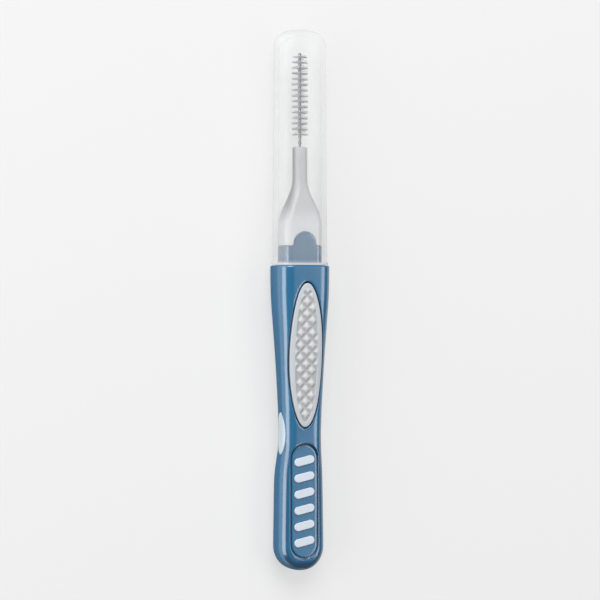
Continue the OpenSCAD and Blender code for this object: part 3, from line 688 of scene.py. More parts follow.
def solid(form, name, build, values=None):
    """A piece's mesh, with any values of its points kept, its doubles merged and its faces
    turned outwards."""
    obj = mesh_object(name, form.place(build.points), build.faces)
    for key, numbers in (values or {}).items():
        keep_values(obj, key, numbers)
    work = bmesh.new()
    work.from_mesh(obj.data)
    bmesh.ops.remove_doubles(work, verts=work.verts, dist=MERGE)
    bmesh.ops.recalc_face_normals(work, faces=work.faces)
    if work.calc_volume(signed=True) < 0:
        bmesh.ops.reverse_faces(work, faces=work.faces)
    work.to_mesh(obj.data)
    work.free()
    return obj


def combine(obj, other, operation):
    """Cuts another solid out of a piece, or joins it on, and removes it."""
    tool = obj.modifiers.new("combine", "BOOLEAN")
    tool.operation, tool.solver, tool.object = operation, "EXACT", other
    graph = bpy.context.evaluated_depsgraph_get()
    mesh = bpy.data.meshes.new_from_object(obj.evaluated_get(graph))
    obj.modifiers.clear()
    obj.data = mesh
    bpy.data.objects.remove(other)


def settle(obj, body, nodes, material, sharp=32):
    """Gives a finished mesh its shading, its material and its place in the frame."""
    obj.data.shade_smooth()
    obj.data.set_sharp_from_angle(angle=math.radians(sharp))
    obj.data.materials.clear()
    obj.data.materials.append(material)
    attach(obj, body)
    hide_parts(*nodes)


def sums(operation):
    """An operator that adds a Math node, and its reflected form."""
    return (lambda self, other: self.bench.math(operation, self, other),
            lambda self, other: self.bench.math(operation, other, self))


class Signal:
    """A socket in a Python sum: each sum adds a Math node."""

    def __init__(self, bench, socket):
        self.bench, self.socket = bench, socket

    def math(self, operation, *others):
        return self.bench.math(operation, self, *others)

    __add__, __radd__ = sums("ADD")
    __sub__, __rsub__ = sums("SUBTRACT")
    __mul__, __rmul__ = sums("MULTIPLY")
    __truediv__, __rtruediv__ = sums("DIVIDE")
    __pow__, __rpow__ = sums("POWER")


class Bench:
    """Adds nodes to one tree."""

    def __init__(self, tree):
        self.tree = tree

    def add(self, kind, settings=None, inputs=None, output=0):
        """A node of a type, with its settings and the values or links of its sockets."""
        node = self.tree.nodes.new(kind)
        for key, value in (settings or {}).items():
            setattr(node, key, value)
        for key, value in (inputs or {}).items():
            if isinstance(value, Signal):
                self.tree.links.new(value.socket, node.inputs[key])
            elif isinstance(value, bpy.types.NodeSocket):
                self.tree.links.new(value, node.inputs[key])
            else:
                node.inputs[key].default_value = value
        return Signal(self, node.outputs[output]) if output is not None else node

    def math(self, operation, *terms):
        return self.add("ShaderNodeMath", {"operation": operation}, dict(enumerate(terms)))

    def noise(self, place, size, detail=2, stretch=(1, 1, 1)):
        """Noise of a feature size in mm, from 0 to 1."""
        turned = self.add("ShaderNodeMapping", {}, {"Vector": place, "Scale": stretch})
        return self.add("ShaderNodeTexNoise", {}, {
            "Vector": turned, "Scale": 1 / (size * MM), "Detail": detail, "Roughness": 0.5})

    def blend(self, amount, first, second):
        """A colour between two colours."""
        return self.add("ShaderNodeMix", {"data_type": "RGBA"},
                        {0: amount, 6: first, 7: second}, 2)

    def value(self, name):
        """A number kept for each point of the mesh."""
        return self.add("ShaderNodeAttribute", {"attribute_name": name}, output=2)

    def dress(self, shader, top, rough, height):
        """Links a shader's colour and roughness, and a relief with a height in mm."""
        bump = self.add("ShaderNodeBump", {}, {
            "Height": height, "Distance": 1.0, "Strength": 1.0})
        for key, signal in (("Base Color", top), ("Roughness", rough), ("Normal", bump)):
            self.tree.links.new(signal.socket, shader.inputs[key])


def rgba(rgb, shade=1):
    return (*(part * shade for part in rgb), 1)


def new_finish(name):
    """A new material with its bench, its shader and the place of a point on the piece."""
    material = bpy.data.materials.new(name)
    material.use_nodes = True
    bench = Bench(material.node_tree)
    place = bench.add("ShaderNodeTexCoord", output=3)
    return material, bench, bench.tree.nodes["Principled BSDF"], place


def moulded(name, rgb, rough, swing=0.05, cloud=0.05, grain=0.22, grain_h=0.004,
            under=(), constants=None):
    """A moulded finish: faint clouds in the colour, a satin that varies and a fine grain.
    Each attribute in under, with a colour, blends that colour in where it falls from 1 to 0."""
    material, bench, shader, place = new_finish(name)
    clouds = bench.noise(place, CLOUD_SIZE, detail=3)
    fine = bench.noise(place, grain)
    top = bench.blend(clouds, rgba(rgb, 1 - cloud), rgba(rgb, 1 + cloud))
    for attribute, low_rgb in under:
        top = bench.blend(bench.value(attribute), rgba(low_rgb), top)
    satin = rough + (clouds - 0.5) * (2 * swing) + (fine - 0.5) * swing
    bench.dress(shader, top, satin, fine * (grain_h * MM))
    for key, value in (constants or {}).items():
        shader.inputs[key].default_value = value
    return material, bench, shader, place


def unroll_plug(form, c):
    """Distance round the plug's section, in mm, for measuring across it."""
    spans = [form.plug_edge_r * math.pi / 2, form.plug_w - 2 * form.plug_edge_r,
             form.plug_edge_r * math.pi / 2, form.plug_d - 2 * form.plug_edge_r] * 2
    return np.interp(c, np.arange(9), np.concatenate([[0], np.cumsum(spans)]))


def from_sleeve_edge(form, c, reach, s):
    """Distance of places on the plug from the upper edge of the band and tongues."""
    u = unroll_plug(form, c)
    return distance_to(np.column_stack([u, s]), np.column_stack([u, reach]))


class Opening:
    """An opening in the grip's outside: its outline drawn out by a distance, the place of its
    middle, what finds a point's place round the section, the side it is on, the rounding of its
    lip, and the walls that follow, each made from the points of the ring before it."""

    def __init__(self, outline, centre, find, which, lip, walls):
        self.outline, self.centre, self.find, self.which = outline, centre, find, which
        self.lip, self.walls = lip, walls

    def unrolled(self, out):
        """The outline drawn out by a distance, on the unrolled outside."""
        xy = self.outline(out)
        s = self.centre + xy[:, 1]
        return np.column_stack([unroll(self.find(xy[:, 0], s, self.which)) - seam_shift(-s), -s])


def grip_openings(form):
    """The recesses of the pads, the side windows, and the panel with its groove."""
    pad_a, pad_b = form.pad_l / 2 + form.pad_groove, form.pad_w / 2 + form.pad_groove
    win_a, win_b = form.window_l / 2, form.window_h / 2
    bar_x, bar_z = form.spine_w / 2 - WINDOW_PAST, form.spine_d / 2 - RECESS_PAST
    openings = []
    for back, side in ((False, 1), (True, -1)):
        openings.append(Opening(
            lambda d: oval(pad_a + d, pad_b + d, PAD_STEPS), form.pad_centre, form.face_place,
            back, form.edge_round,
            [lambda p, side=side: p - (0, 0, side * RECESS_STEP),
             lambda p, side=side: np.column_stack([p[:, :2], np.full(len(p), side * bar_z)])]))
    for side in (1, -1):
        openings.append(Opening(
            lambda d: oval(win_a + d, win_b + d, WINDOW_STEPS), -form.waist_at, form.side_place,
            side, WINDOW_LIP,
            [lambda p, side=side: np.column_stack([np.full(len(p), side * bar_x), p[:, 1:]])]))

    def panel(out):
        return stadium(form.panel_l + 2 * out, form.panel_w + 2 * out, PANEL_STEPS)

    def at_depth(inset, z):
        x, y = panel(-inset).T
        ring = np.column_stack([x, form.panel_centre + y, np.full(len(x), z)])
        return lambda p: ring

    low, floor = form.tail_front - form.groove_d, form.tail_front - form.panel_sink
    w, r, edge = form.groove_w, GROOVE_ROUND, PANEL_ROUND
    walls = [at_depth(*wall) for wall in (
        (0, low + r), (r / 3, low + r / 3), (r, low), (w - r, low), (w - r / 3, low + r / 3),
        (w, low + r), (w, floor - edge), (w + 0.3 * edge, floor - 0.3 * edge),
        (w + edge, floor), (w + 4 * edge, floor))]
    openings.append(Opening(panel, form.panel_centre, form.face_place, False, PANEL_LIP, walls))
    return openings


def wrap_outside(form, build):
    """Wraps the unrolled outside of the grip round its sections, with its openings left out and
    walled. Returns the rings of point numbers at the shoulder's rim and at the tail's end."""
    openings, seam, end = grip_openings(form), unroll(SEAM), unroll(SEAM + 8)
    rows = np.concatenate([
        form.rim_bevel * (1 - np.cos(RIM_TURN)),
        np.linspace(form.rim_bevel, form.tail_round_at, GRIP_ROWS)[1:],
        form.tail_round_at + form.tail_round_l * np.sin(TAIL_TURN)])
    columns = np.append(unroll(round_places(SEAM)), end)
    grid = np.array([(u, v) for v in rows for u in columns])

    def by_seam(points):
        return points[:, 0] < seam + NEAR, points[:, 0] > end - NEAR

    # The points that stay clear of the openings, then each opening's lip in rings, the deepest
    # last, with how far each point lies below the outside
    keep = np.ones(len(grid), bool)
    loops, depths = [], []
    for opening in openings:
        around = opening.unrolled(opening.lip + OPENING_MARGIN)
        keep &= ~inside_loop(grid, around) | np.any(by_seam(grid), axis=0)
        for share in LIP_SHARES:
            loops.append(opening.unrolled(opening.lip * share))
            fall = edge_fall(opening.lip * share, opening.lip)
            depths.append(np.full(len(loops[-1]), fall))
    grid = grid[keep]
    flat = np.concatenate([grid, *loops])
    ends = len(grid) + np.cumsum([len(loop) for loop in loops])
    numbers = [list(range(stop - len(loop), stop)) for loop, stop in zip(loops, ends)]
    plane, triangles, number = triangles_over(flat, numbers)
    if len(plane) != len(flat):
        raise RuntimeError(f"the grip's openings cross: {len(plane)} points from {len(flat)}")
    order = np.array([number[i] for i in range(len(flat))])
    below = np.zeros(len(plane))
    below[order] = np.concatenate([np.zeros(len(grid)), *depths])
    build.ring(form.grip_point(plane[:, 0], plane[:, 1], below))

    # The seam's two sides are one
    low_side, high_side = (sorted(np.flatnonzero(near), key=lambda i: plane[i, 1])
                           for near in by_seam(plane))
    same = dict(zip(high_side, low_side, strict=True))
    deepest = slice(len(LIP_SHARES) - 1, None, len(LIP_SHARES))
    middles = plane[triangles].mean(1)
    cut = np.any([inside_loop(middles, loop) for loop in loops[deepest]], axis=0)
    for triangle in triangles[~cut]:
        face = tuple(same.get(i, i) for i in triangle)
        if len(set(face)) == 3:
            build.faces.append(face)
    for opening, loop in zip(openings, numbers[deepest]):
        ring = [int(order[i]) for i in loop]
        for wall in opening.walls:
            new = build.ring(wall(np.array([build.points[i] for i in ring])))
            build.band(ring, new)
            ring = new
        build.lid(ring)

    def ring_at(v):
        near = [i for i, p in enumerate(plane) if abs(p[1] - v) < NEAR / 10 and i not in same]
        return sorted(near, key=lambda i: plane[i, 0])

    return ring_at(rows[0]), ring_at(rows[-1])


def face_between(build, outer, inner):
    """A flat face across the brush, between a ring of point numbers and one inside it."""
    both = outer + inner
    xz = np.array([(build.points[i][0], build.points[i][2]) for i in both])
    loops = [list(range(len(outer))), list(range(len(outer), len(both)))]
    plane, triangles, number = triangles_over(xz, loops)
    back_to = {new: old for old, new in number.items()}
    middles = plane[triangles].mean(1)
    between = inside_loop(middles, xz[:len(outer)]) & ~inside_loop(middles, xz[len(outer):])
    for triangle in triangles[between]:
        build.faces.append(tuple(both[back_to[int(i)]] for i in triangle))


def make_grip(form):
    """The blue shell: its rounded outside with real openings, band, tongues and cavity."""
    build = Build()
    rim, tail = wrap_outside(form, build)
    build.fan(tail, (0, -form.grip_l, 0))
    c, reach = form.sleeve_columns()
    foot = build.ring(form.plug(c, 0))
    face_between(build, rim, foot)
    rings = []
    for share, drop in ([(u, 0) for u in steps_to(SLEEVE_ROWS)[:-1]]
                        + [(1, drop) for drop in SLEEVE_DROPS]):
        s = reach * share - drop
        fall = edge_fall(from_sleeve_edge(form, c, reach, s), form.edge_round)
        rings.append(form.plug(c, s, fall))
    rings.append(form.plug(c, reach, form.band_t + SLEEVE_PAST))
    build.fan(build.loft(rings, foot), (0, form.band_l / 2, 0))
    shell = solid(form, "blue_grip", build)

    cutter, c, gap = Build(), round_places(), form.bond_gap
    cutter.tube([form.seat(c, form.tongue_l + CAVITY_PAST, gap), form.seat(c, -gap, gap),
                 form.spine(c, -gap, gap), form.spine(c, -form.spine_l - gap, gap)])
    combine(shell, solid(form, "cavity", cutter), "DIFFERENCE")
    shade_grip(form, shell)
    return shell


def shade_grip(form, shell):
    """Keeps how deep in a groove each point of the shell lies, for the painted shade in the
    grooves, and where the shell is thick."""
    x, s, z = form.unplace([v.co for v in shell.data.vertices]).T
    half_w, front, back, edge = form.grip_dims(np.minimum(s, 0))
    depth = crown(x, half_w, np.where(z > 0, front, back), edge) - np.abs(z)
    # In the panel only what lies below its floor gets the painted groove shade
    in_panel = (z > 0) & (s < form.panel_centre + form.panel_l / 2 + PANEL_ROUND * 2)
    floor = form.tail_front - form.panel_sink
    depth = np.where(in_panel, floor + SHADE_FROM - z, depth)
    reach = form.pad_w / 2 + form.pad_groove + SHADE_CLEAR
    near = (s < 0) & (np.abs(x) < reach) & (np.abs(z) > FACE_FROM)
    shade = ramp(depth, SHADE_FROM, SHADE_OVER) * np.where(in_panel, 1, PAD_GROOVE_SHADE)
    keep_values(shell, "painted_groove_shade", np.where(near, 1 - shade, 1))
    keep_values(shell, "thick", s < CLEAR)


def make_core(form):
    """The white core: nozzle, flare, plug, the bar inside the grip and its side bosses."""
    c, reach = form.sleeve_columns()
    gap = form.bond_gap
    rings = [form.spine(c, -form.spine_l), form.spine(c, 0), form.seat(c, 0),
             form.plug(c, reach + gap, form.band_t + gap)]
    for rise in PLUG_RISES:
        fall = edge_fall(from_sleeve_edge(form, c, reach, reach + rise), PLUG_LIP)
        rings.append(form.plug(c, reach + gap + rise, fall))
    rings += [form.plug(c, mix(reach + PLUG_CLEAR, form.flare_at, u))
              for u in steps_to(PLUG_ROWS)]
    for u in steps_to(FLARE_ROWS):
        e = ease(u)
        rings.append(form.even(c, form.flare_at + form.flare_l * u,
                               mix(form.plug_w, form.nozzle_d, e) / 2,
                               mix(form.plug_d, form.nozzle_d, e) / 2,
                               mix(form.plug_edge_r, form.nozzle_d / 2, e)))
    r, bevel, end = form.nozzle_d / 2, form.nozzle_bevel, form.neck_end
    rings += [form.even(c, mix(form.nozzle_at, end - bevel, u), r, r, r)
              for u in steps_to(NOZZLE_ROWS)]
    for a in QUARTER:
        inset = bevel * (1 - math.cos(a))
        rings.append(form.even(c, end - bevel * (1 - math.sin(a)), r - inset, r - inset, r))
    bore = form.bore_r
    for radius, s in ((bore + BORE_BEVEL, end), (bore, end - BORE_BEVEL),
                      (bore, end - form.wire_hold_l)):
        rings.append(form.even(c, s, radius, radius, radius))
    build = Build()
    build.tube(rings)
    core = solid(form, "white_core", build)
    for side in (1, -1):
        combine(core, make_boss(form, side), "UNION")
    shade_core(form, core)
    return core


def make_boss(form, side):
    """A boss of the core that fills a side window, crowned as the grip's side is."""
    a, b = form.window_l / 2 - form.bond_gap, form.window_h / 2 - form.bond_gap
    edge = BOSS_ROUND
    outline = oval(1, 1, WINDOW_STEPS)
    turn = [(a * k, b * k, 0) for k in np.sin(CROWN_TURN) * (1 - edge / b)]
    turn += [(a - edge + edge * math.sin(t), b - edge + edge * math.sin(t),
              edge * (1 - math.cos(t))) for t in BOSS_TURN]
    rings = []
    for long, wide, fall in turn:
        z, s = wide * outline[:, 0], -form.waist_at + long * outline[:, 1]
        x = form.grip_side(z, s) - form.window_sink - fall
        rings.append(np.column_stack([side * x, s, z]))
    foot = rings[-1].copy()
    foot[:, 0] = side * (form.spine_w / 2 - BOSS_PAST)
    build = Build()
    build.lid(build.loft(rings + [foot]))
    top = form.grip_side(0, -form.waist_at) - form.window_sink
    build.fan(list(range(WINDOW_STEPS)), (side * top, -form.waist_at, 0))
    return solid(form, "boss", build)


def shade_core(form, core):
    """Keeps how solid each point of the core looks, for the clear neck with painted shade on its
    flanks, and where it is plain, away from the bosses, which take a painted bluish reflection."""
    x, s, _ = form.unplace([v.co for v in core.data.vertices]).T
    thick = 1 - ease((s - NECK_FROM) / NECK_OVER)
    half_w = mix(form.plug_w, form.nozzle_d, ease((s - form.flare_at) / form.flare_l)) / 2
    flank_shade = ramp(np.abs(x) / half_w, NECK_SHADE_FLANK, NECK_SHADE_FLANK_OVER)
    # Painted shade: the neck's flanks take its grey in full, its front in part
    keep_values(core, "solid", thick + (1 - thick) * NECK_FRONT * (1 - flank_shade ** 2))
    # The bosses take the boss colour, a painted bluish reflection
    in_boss = (s < BOSS_FROM) & (np.abs(x) > form.spine_w / 2 + CLEAR)
    keep_values(core, "plain", np.where(in_boss, 0, 1))


def make_pad(form, name, back):
    """A grey pad with a plain rounded rim and a sunk field of raised diamonds."""
    a, b, side = form.pad_l / 2, form.pad_w / 2, -1 if back else 1
    rim, field = form.pad_rim, form.pad_rim + RIM_STEP + FIELD_GAP

    def within(xy, inset):
        """Which points lie inside the outline drawn in by a distance."""
        return (xy[:, 0] / (b - inset)) ** 2 + (xy[:, 1] / (a - inset)) ** 2 < 1

    def depth_in(xy):
        """Distance in from the outline, found by halving."""
        low, high = np.zeros(len(xy)), np.full(len(xy), b - 1e-6)
        for _ in range(HALVINGS):
            d = (low + high) / 2
            inside = within(xy, d)
            low, high = np.where(inside, d, low), np.where(inside, high, d)
        return (low + high) / 2

    pitch = form.diamond_pitch
    rows, columns = math.ceil(form.pad_l / pitch), math.ceil(b / pitch) + 1
    centres = np.array([((column + (row % 2) / 2) * pitch, row * pitch / 2 + form.diamond_shift)
                        for row in range(-rows, rows + 1)
                        for column in range(-columns, columns + 1)])
    centres = centres[within(centres, rim - RIM_STEP)]

    def nearness(xy):
        """Distance from the nearest diamond's middle, as a share of its half-size."""
        away = np.abs(xy[:, None] - centres) / (form.diamond_w / 2, form.diamond_l / 2)
        return away.sum(-1).min(1)

    def rise(xy):
        """How raised a point is, from 0 on the field to 1 on a diamond."""
        t = ramp(nearness(xy), DIAMOND_FOOT, DIAMOND_TOP - DIAMOND_FOOT)
        return 0.4 * t * t * (3 - 2 * t) + 0.6 * t

    def sunk(xy):
        """How far a point is down the step from the rim to the field, from 0 to 1."""
        return ease((depth_in(xy) - rim) / RIM_STEP)

    def height(xy):
        base = form.grip_face(xy[:, 0], form.pad_centre + xy[:, 1], back) + form.pad_proud
        base -= edge_fall(depth_in(xy), RIM_INSETS[-1])
        top = base + (form.diamond_h * rise(xy) - form.pad_field_sink) * sunk(xy)
        return np.minimum(top, form.rest_h if back else form.pad_top)

    # Rings down the rim, contours round the diamonds, and a grid over the rest of the field
    insets = (*RIM_INSETS, rim - 2 * FIELD_GAP, rim, rim + RIM_STEP / 2, rim + RIM_STEP)
    points = [oval(a - d, b - d, PAD_STEPS) for d in insets]
    loops = [list(range(i * PAD_STEPS, (i + 1) * PAD_STEPS)) for i in range(len(insets))]
    at, pairs = len(insets) * PAD_STEPS, []
    for centre in centres:
        for share, n in DIAMOND_CONTOURS:
            w, l = form.diamond_w / 2 * share, form.diamond_l / 2 * share
            corners = np.array([(w, 0), (0, l), (-w, 0), (0, -l)])
            edge = np.array([mix(corners[i], corners[(i + 1) % 4], k / n)
                             for i in range(4) for k in range(n)]) + centre
            inside = within(edge, field)
            new = at + np.cumsum(inside) - 1
            both = inside & np.roll(inside, -1)
            pairs += zip(new[both].tolist(), np.roll(new, -1)[both].tolist())
            points.append(edge[inside])
            at += int(inside.sum())
    step = FIELD_STEP
    grid = np.array([(i * step + (j % 2) * step / 2, j * step)
                     for j in range(-int(a / step), int(a / step) + 1)
                     for i in range(-int(b / step), int(b / step) + 1)])
    grid = grid[within(grid, field + 2 * FIELD_GAP)]
    grid = grid[nearness(grid) > DIAMOND_FOOT + DIAMOND_GAP]
    points += [grid, centres[within(centres, field)]]
    plane, triangles, number = triangles_over(np.concatenate(points), loops, pairs)
    build = Build()
    build.ring(np.column_stack([plane[:, 0], form.pad_centre + plane[:, 1],
                                side * height(plane)]))
    build.faces = [tuple(t) for t in triangles[within(plane, -1e-4)[triangles].all(1)]]
    outline = [number[i] for i in loops[0]]
    wall = np.array([build.points[i] for i in outline])
    foot = np.column_stack([wall[:, :2], np.full(PAD_STEPS, side * form.spine_d / 2)])
    build.lid(build.loft([wall - (0, 0, side * PAD_WALL_STEP), foot], outline))
    sinking, walls = sunk(plane), np.ones(2 * PAD_STEPS)
    # Where raised falls to 0, in the sunk field between the diamonds, the pad takes painted shade
    return solid(form, name, build, {
        "rim": np.append(1 - sinking, walls),
        "raised": np.append(1 - sinking * (1 - rise(plane)), walls),
        # The pad's walls take the painted groove shade at a share
        "painted_groove_shade": np.append(np.ones(len(plane)), walls * PAD_WALL_SHADE)})


def make_bars(form):
    """The raised bars on the panel, slanted blocks with round ends and a rounded top edge."""
    turn = math.atan(BAR_LEAN)
    long = (form.mark_l - form.mark_w) * math.sqrt(1 + BAR_LEAN ** 2)
    spare = form.panel_l - 2 * form.mark_end_gap - form.mark_w
    number = math.floor(spare / form.mark_pitch) + 1
    floor = form.tail_front - form.panel_sink
    top = floor + form.mark_h

    def outline(inset):
        w = form.mark_w - 2 * inset
        y, x = (stadium(long + w, w, BAR_STEPS, BAR_TURN_SHARE) * (-1, 1)).T
        return x * math.cos(turn) - y * math.sin(turn), x * math.sin(turn) + y * math.cos(turn)

    levels = [(0, floor), (0, top - BAR_ROUND)]
    levels += [(BAR_ROUND * (1 - math.cos(a)), top - BAR_ROUND * (1 - math.sin(a)))
               for a in QUARTER]
    levels.append((BAR_ROUND + BAR_TOP_INSET, top))
    build = Build()
    for i in range(number):
        along = form.panel_centre + (i - (number - 1) / 2) * form.mark_pitch
        rings = []
        for inset, z in levels:
            x, y = outline(inset)
            rings.append(np.column_stack([x, y + along, np.full(len(x), z)]))
        build.tube(rings)
    return solid(form, "panel_bars", build)


def make_wire(form, counts):
    """One wire folded at the tip, its legs twisted round each other."""
    sides = 2 * np.pi * np.arange(counts.wire_sides) / counts.wire_sides
    rate = 2 * np.pi / form.twist_pitch

    def ring(centre, across, along):
        out = np.cross(across, along)
        return centre + form.wire_d / 2 * (
            np.cos(sides)[:, None] * out + np.sin(sides)[:, None] * across)

    def way(s, side):
        a = rate * (s - form.fold_at) + (0 if side > 0 else math.pi)
        return np.array([math.cos(a), 0, math.sin(a)])

    def leg(s, side, heading):
        out = way(s, side)
        along = heading * (form.leg_r * rate * np.array([-out[2], 0, out[0]]) + (0, 1, 0))
        along /= np.linalg.norm(along)
        return ring(np.array([0, s, 0]) + form.leg_r * out, np.cross(along, out), along)

    def fold(a):
        out, up = way(form.fold_at, 1), np.array([0, 1, 0])
        return ring(np.array([0, form.fold_at, 0])
                    + form.leg_r * (math.cos(a) * out + math.sin(a) * up),
                    np.cross(up, out), math.cos(a) * up - math.sin(a) * out)

    start = form.neck_end - form.wire_hold_l
    steps = math.ceil((form.fold_at - start) / form.twist_pitch * counts.turn_steps)
    along = np.linspace(start, form.fold_at, steps + 1)[:-1]
    build = Build()
    build.tube([leg(s, 1, 1) for s in along]
               + [fold(a) for a in np.radians(np.linspace(0, 180, FOLD_STEPS))]
               + [leg(s, -1, -1) for s in along[::-1]])
    return solid(form, "wire_stem", build)


def filament_tree():
    """A node tree that lays filaments along the twist of the wire."""
    tree = bpy.data.node_groups.new("Filament field", "GeometryNodeTree")
    sockets = {}

    def socket(name, kind, in_out="INPUT"):
        made = tree.interface.new_socket(name=name, in_out=in_out, socket_type=kind)
        sockets[name] = made.identifier

    socket("Geometry", "NodeSocketGeometry", "OUTPUT")
    for name in ("Filaments", "Seed"):
        socket(name, "NodeSocketInt")
    for name in ("Start", "Field length", "Axis height", "Fold place", "Turn length", "Reach",
                 "Thickness", "Lean", "Bend", "Scatter", "Bunching"):
        socket(name, "NodeSocketFloat")
    socket("Material", "NodeSocketMaterial")
    bench = Bench(tree)
    entry = tree.nodes.new("NodeGroupInput")

    def given(name):
        return Signal(bench, entry.outputs[name])

    def random(low, high, salt):
        return bench.add("FunctionNodeRandomValue", {"data_type": "FLOAT"},
                         {2: low, 3: high, "ID": index, "Seed": given("Seed") + salt}, 1)

    index = bench.add("GeometryNodeInputIndex")
    filaments = given("Filaments")
    share = (index + 0.5) / filaments
    # They stand in bunches, one each half turn, where the wire's legs lie one above the other
    half_turns = ((given("Start") + share * given("Field length") - given("Fold place"))
                  / given("Turn length") * 2 + 0.5)
    bunch = half_turns.math("ROUND")
    off = half_turns - bunch
    close = off.math("ABSOLUTE") * 2
    place = given("Fold place") + given("Turn length") * 0.5 * (
        bunch - 0.5 + off.math("SIGN") * close ** given("Bunching") * 0.5)
    line = bench.add("GeometryNodePoints", {}, {"Count": filaments, "Position": bench.add(
        "ShaderNodeCombineXYZ", {}, {"X": 0.0, "Y": place, "Z": given("Axis height")})})
    # One filament: a fine bar across the wire, a unit long on each side
    bar = bench.add("GeometryNodeCurvePrimitiveLine", {}, {"Start": (-1, 0, 0), "End": (1, 0, 0)})
    bar = bench.add("GeometryNodeResampleCurve", {}, {
        "Curve": bar, "Count": FILAMENT_STEPS})
    across = bench.add("GeometryNodeCurvePrimitiveCircle", {}, {
        "Resolution": FILAMENT_SIDES, "Radius": given("Thickness") / 2 / given("Reach")})
    bar = bench.add("GeometryNodeCurveToMesh", {}, {
        "Curve": bar, "Profile Curve": across, "Fill Caps": True})
    angle = (place - given("Fold place")) / given("Turn length") * (-2 * math.pi) - math.pi / 2
    angle = angle + random(-1.0, 1.0, 11) * given("Scatter")
    lean = random(-1.0, 1.0, 23) * given("Lean")
    turn = bench.add("ShaderNodeCombineXYZ", {}, {"X": 0.0, "Y": angle, "Z": lean})
    full = ((1 - share) / TAPER_SHARE).math("MINIMUM", 1.0)
    size = given("Reach") * (full * TAPER + (1 - TAPER)) * random(SHORTEST, 1.0, 37)
    stood = bench.add("GeometryNodeInstanceOnPoints", {}, {
        "Points": line, "Instance": bar, "Rotation": turn,
        "Scale": bench.add("ShaderNodeCombineXYZ", {}, {0: size, 1: given("Reach"),
                                                        2: given("Reach")})})
    bends = bench.add("GeometryNodeStoreNamedAttribute",
                      {"data_type": "FLOAT", "domain": "INSTANCE"},
                      {"Geometry": stood, "Name": "bend",
                       "Value": random(-1.0, 1.0, 53) * given("Bend")})
    real = bench.add("GeometryNodeRealizeInstances", {}, {"Geometry": bends})
    where = bench.add("GeometryNodeInputPosition")
    parts = bench.add("ShaderNodeSeparateXYZ", {}, {0: where}, None)
    x, z = Signal(bench, parts.outputs[0]), Signal(bench, parts.outputs[2])
    up = z - given("Axis height")
    out = (x * x + up * up) / given("Reach") / given("Reach")
    bend = bench.add("GeometryNodeInputNamedAttribute", {"data_type": "FLOAT"}, {"Name": "bend"})
    shifted = bench.add("GeometryNodeSetPosition", {}, {
        "Geometry": real, "Offset": bench.add("ShaderNodeCombineXYZ", {}, {
            "X": 0.0, "Y": bend * out, "Z": 0.0})})
    done = bench.add("GeometryNodeSetMaterial", {}, {
        "Geometry": shifted, "Material": given("Material")})
    leave = tree.nodes.new("NodeGroupOutput")
    tree.links.new(done.socket, leave.inputs[0])
    return tree, sockets


def make_filaments(form, counts, material):
    """The filaments, laid by the node tree and turned into a plain mesh."""
    tree, sockets = filament_tree()
    holder = mesh_object("field", [], [])
    field = holder.modifiers.new("field", "NODES")
    field.node_group = tree
    values = {
        "Filaments": counts.filaments, "Seed": counts.seed,
        "Start": (form.shoulder_y + form.bristles_at) * MM,
        "Field length": form.bristle_l * MM, "Axis height": form.rest_h * MM,
        "Fold place": (form.shoulder_y + form.fold_at) * MM,
        "Turn length": form.twist_pitch * MM, "Reach": form.bristle_d / 2 * MM,
        "Thickness": form.filament_t * MM, "Lean": math.radians(3), "Bend": 0.07 * MM,
        "Scatter": math.radians(7), "Bunching": 3.0, "Material": material,
    }
    for name, value in values.items():
        field[sockets[name]] = value
    graph = bpy.context.evaluated_depsgraph_get()
    mesh = bpy.data.meshes.new_from_object(holder.evaluated_get(graph))
    mesh.name = "filaments"
    filaments = bpy.data.objects.new("filaments", mesh)
    bpy.context.scene.collection.objects.link(filaments)
    bpy.data.objects.remove(holder)
    return filaments


def make_cap(form):
    """The frosted cap: one wall with a bead at its mouth and a domed end."""
    c = round_places()
    mouth, top = form.seat_gap, form.cap_top
    half_w, half_d = form.plug_w / 2 + form.cap_fit, form.plug_d / 2 + form.cap_fit
    edge = form.plug_edge_r + form.cap_fit

    def ring(s, grow, share=1.0):
        draft = form.cap_draft * (s - mouth) / (top - mouth)
        return form.even(c, s, (half_w + grow - draft) * share, (half_d + grow - draft) * share,
                         (edge + grow) * share)

    wall, proud = form.cap_wall, form.bead_proud
    bead_end, dome_at = mouth + form.bead_l + proud, top - form.cap_dome_l
    rises = np.sin(DOME_TURN)
    rings = [ring(dome_at + form.cap_dome_l * u, wall, rounded_off(u, DOME_POWER))
             for u in rises[::-1]]
    rings += [ring(s, wall) for s in np.linspace(dome_at, bead_end + BEAD_CLEAR, CAP_OUTER_ROWS)]
    rings += [ring(bead_end - down, wall + proud * out) for down, out in BEAD_TOP]
    rings += [ring(mouth + up, wall + proud * out) for up, out in BEAD_FOOT]
    rings += [ring(mouth + up, opened) for up, opened in MOUTH_EDGE]
    dome_l = form.cap_dome_l - wall / 2
    dome_at = form.cap_inner_end - dome_l
    rings += [ring(s, 0) for s in np.linspace(mouth + MOUTH_CLEAR, dome_at, CAP_INNER_ROWS)]
    rings += [ring(dome_at + dome_l * u, 0, rounded_off(u, DOME_POWER)) for u in rises]
    build = Build()
    build.fan(build.loft(rings), (0, form.cap_inner_end, 0))
    build.fan(list(range(len(c))), (0, top, 0))
    x, s, _ = np.array(build.points).T
    veil = (VEIL + VEIL_FLANK * ramp(np.abs(x), FLANK_FROM, FLANK_OVER) ** 2
            + VEIL_DOME * ramp(s, top - DOME_OVER, DOME_OVER) ** 2
            + VEIL_LIP * hump(s, mouth + LIP_AT, LIP_REACH)
            + VEIL_RING * hump(s, bead_end + RING_AT, RING_REACH))
    return solid(form, "travel_cap", build, {"veil": np.clip(veil, 0, 1)})


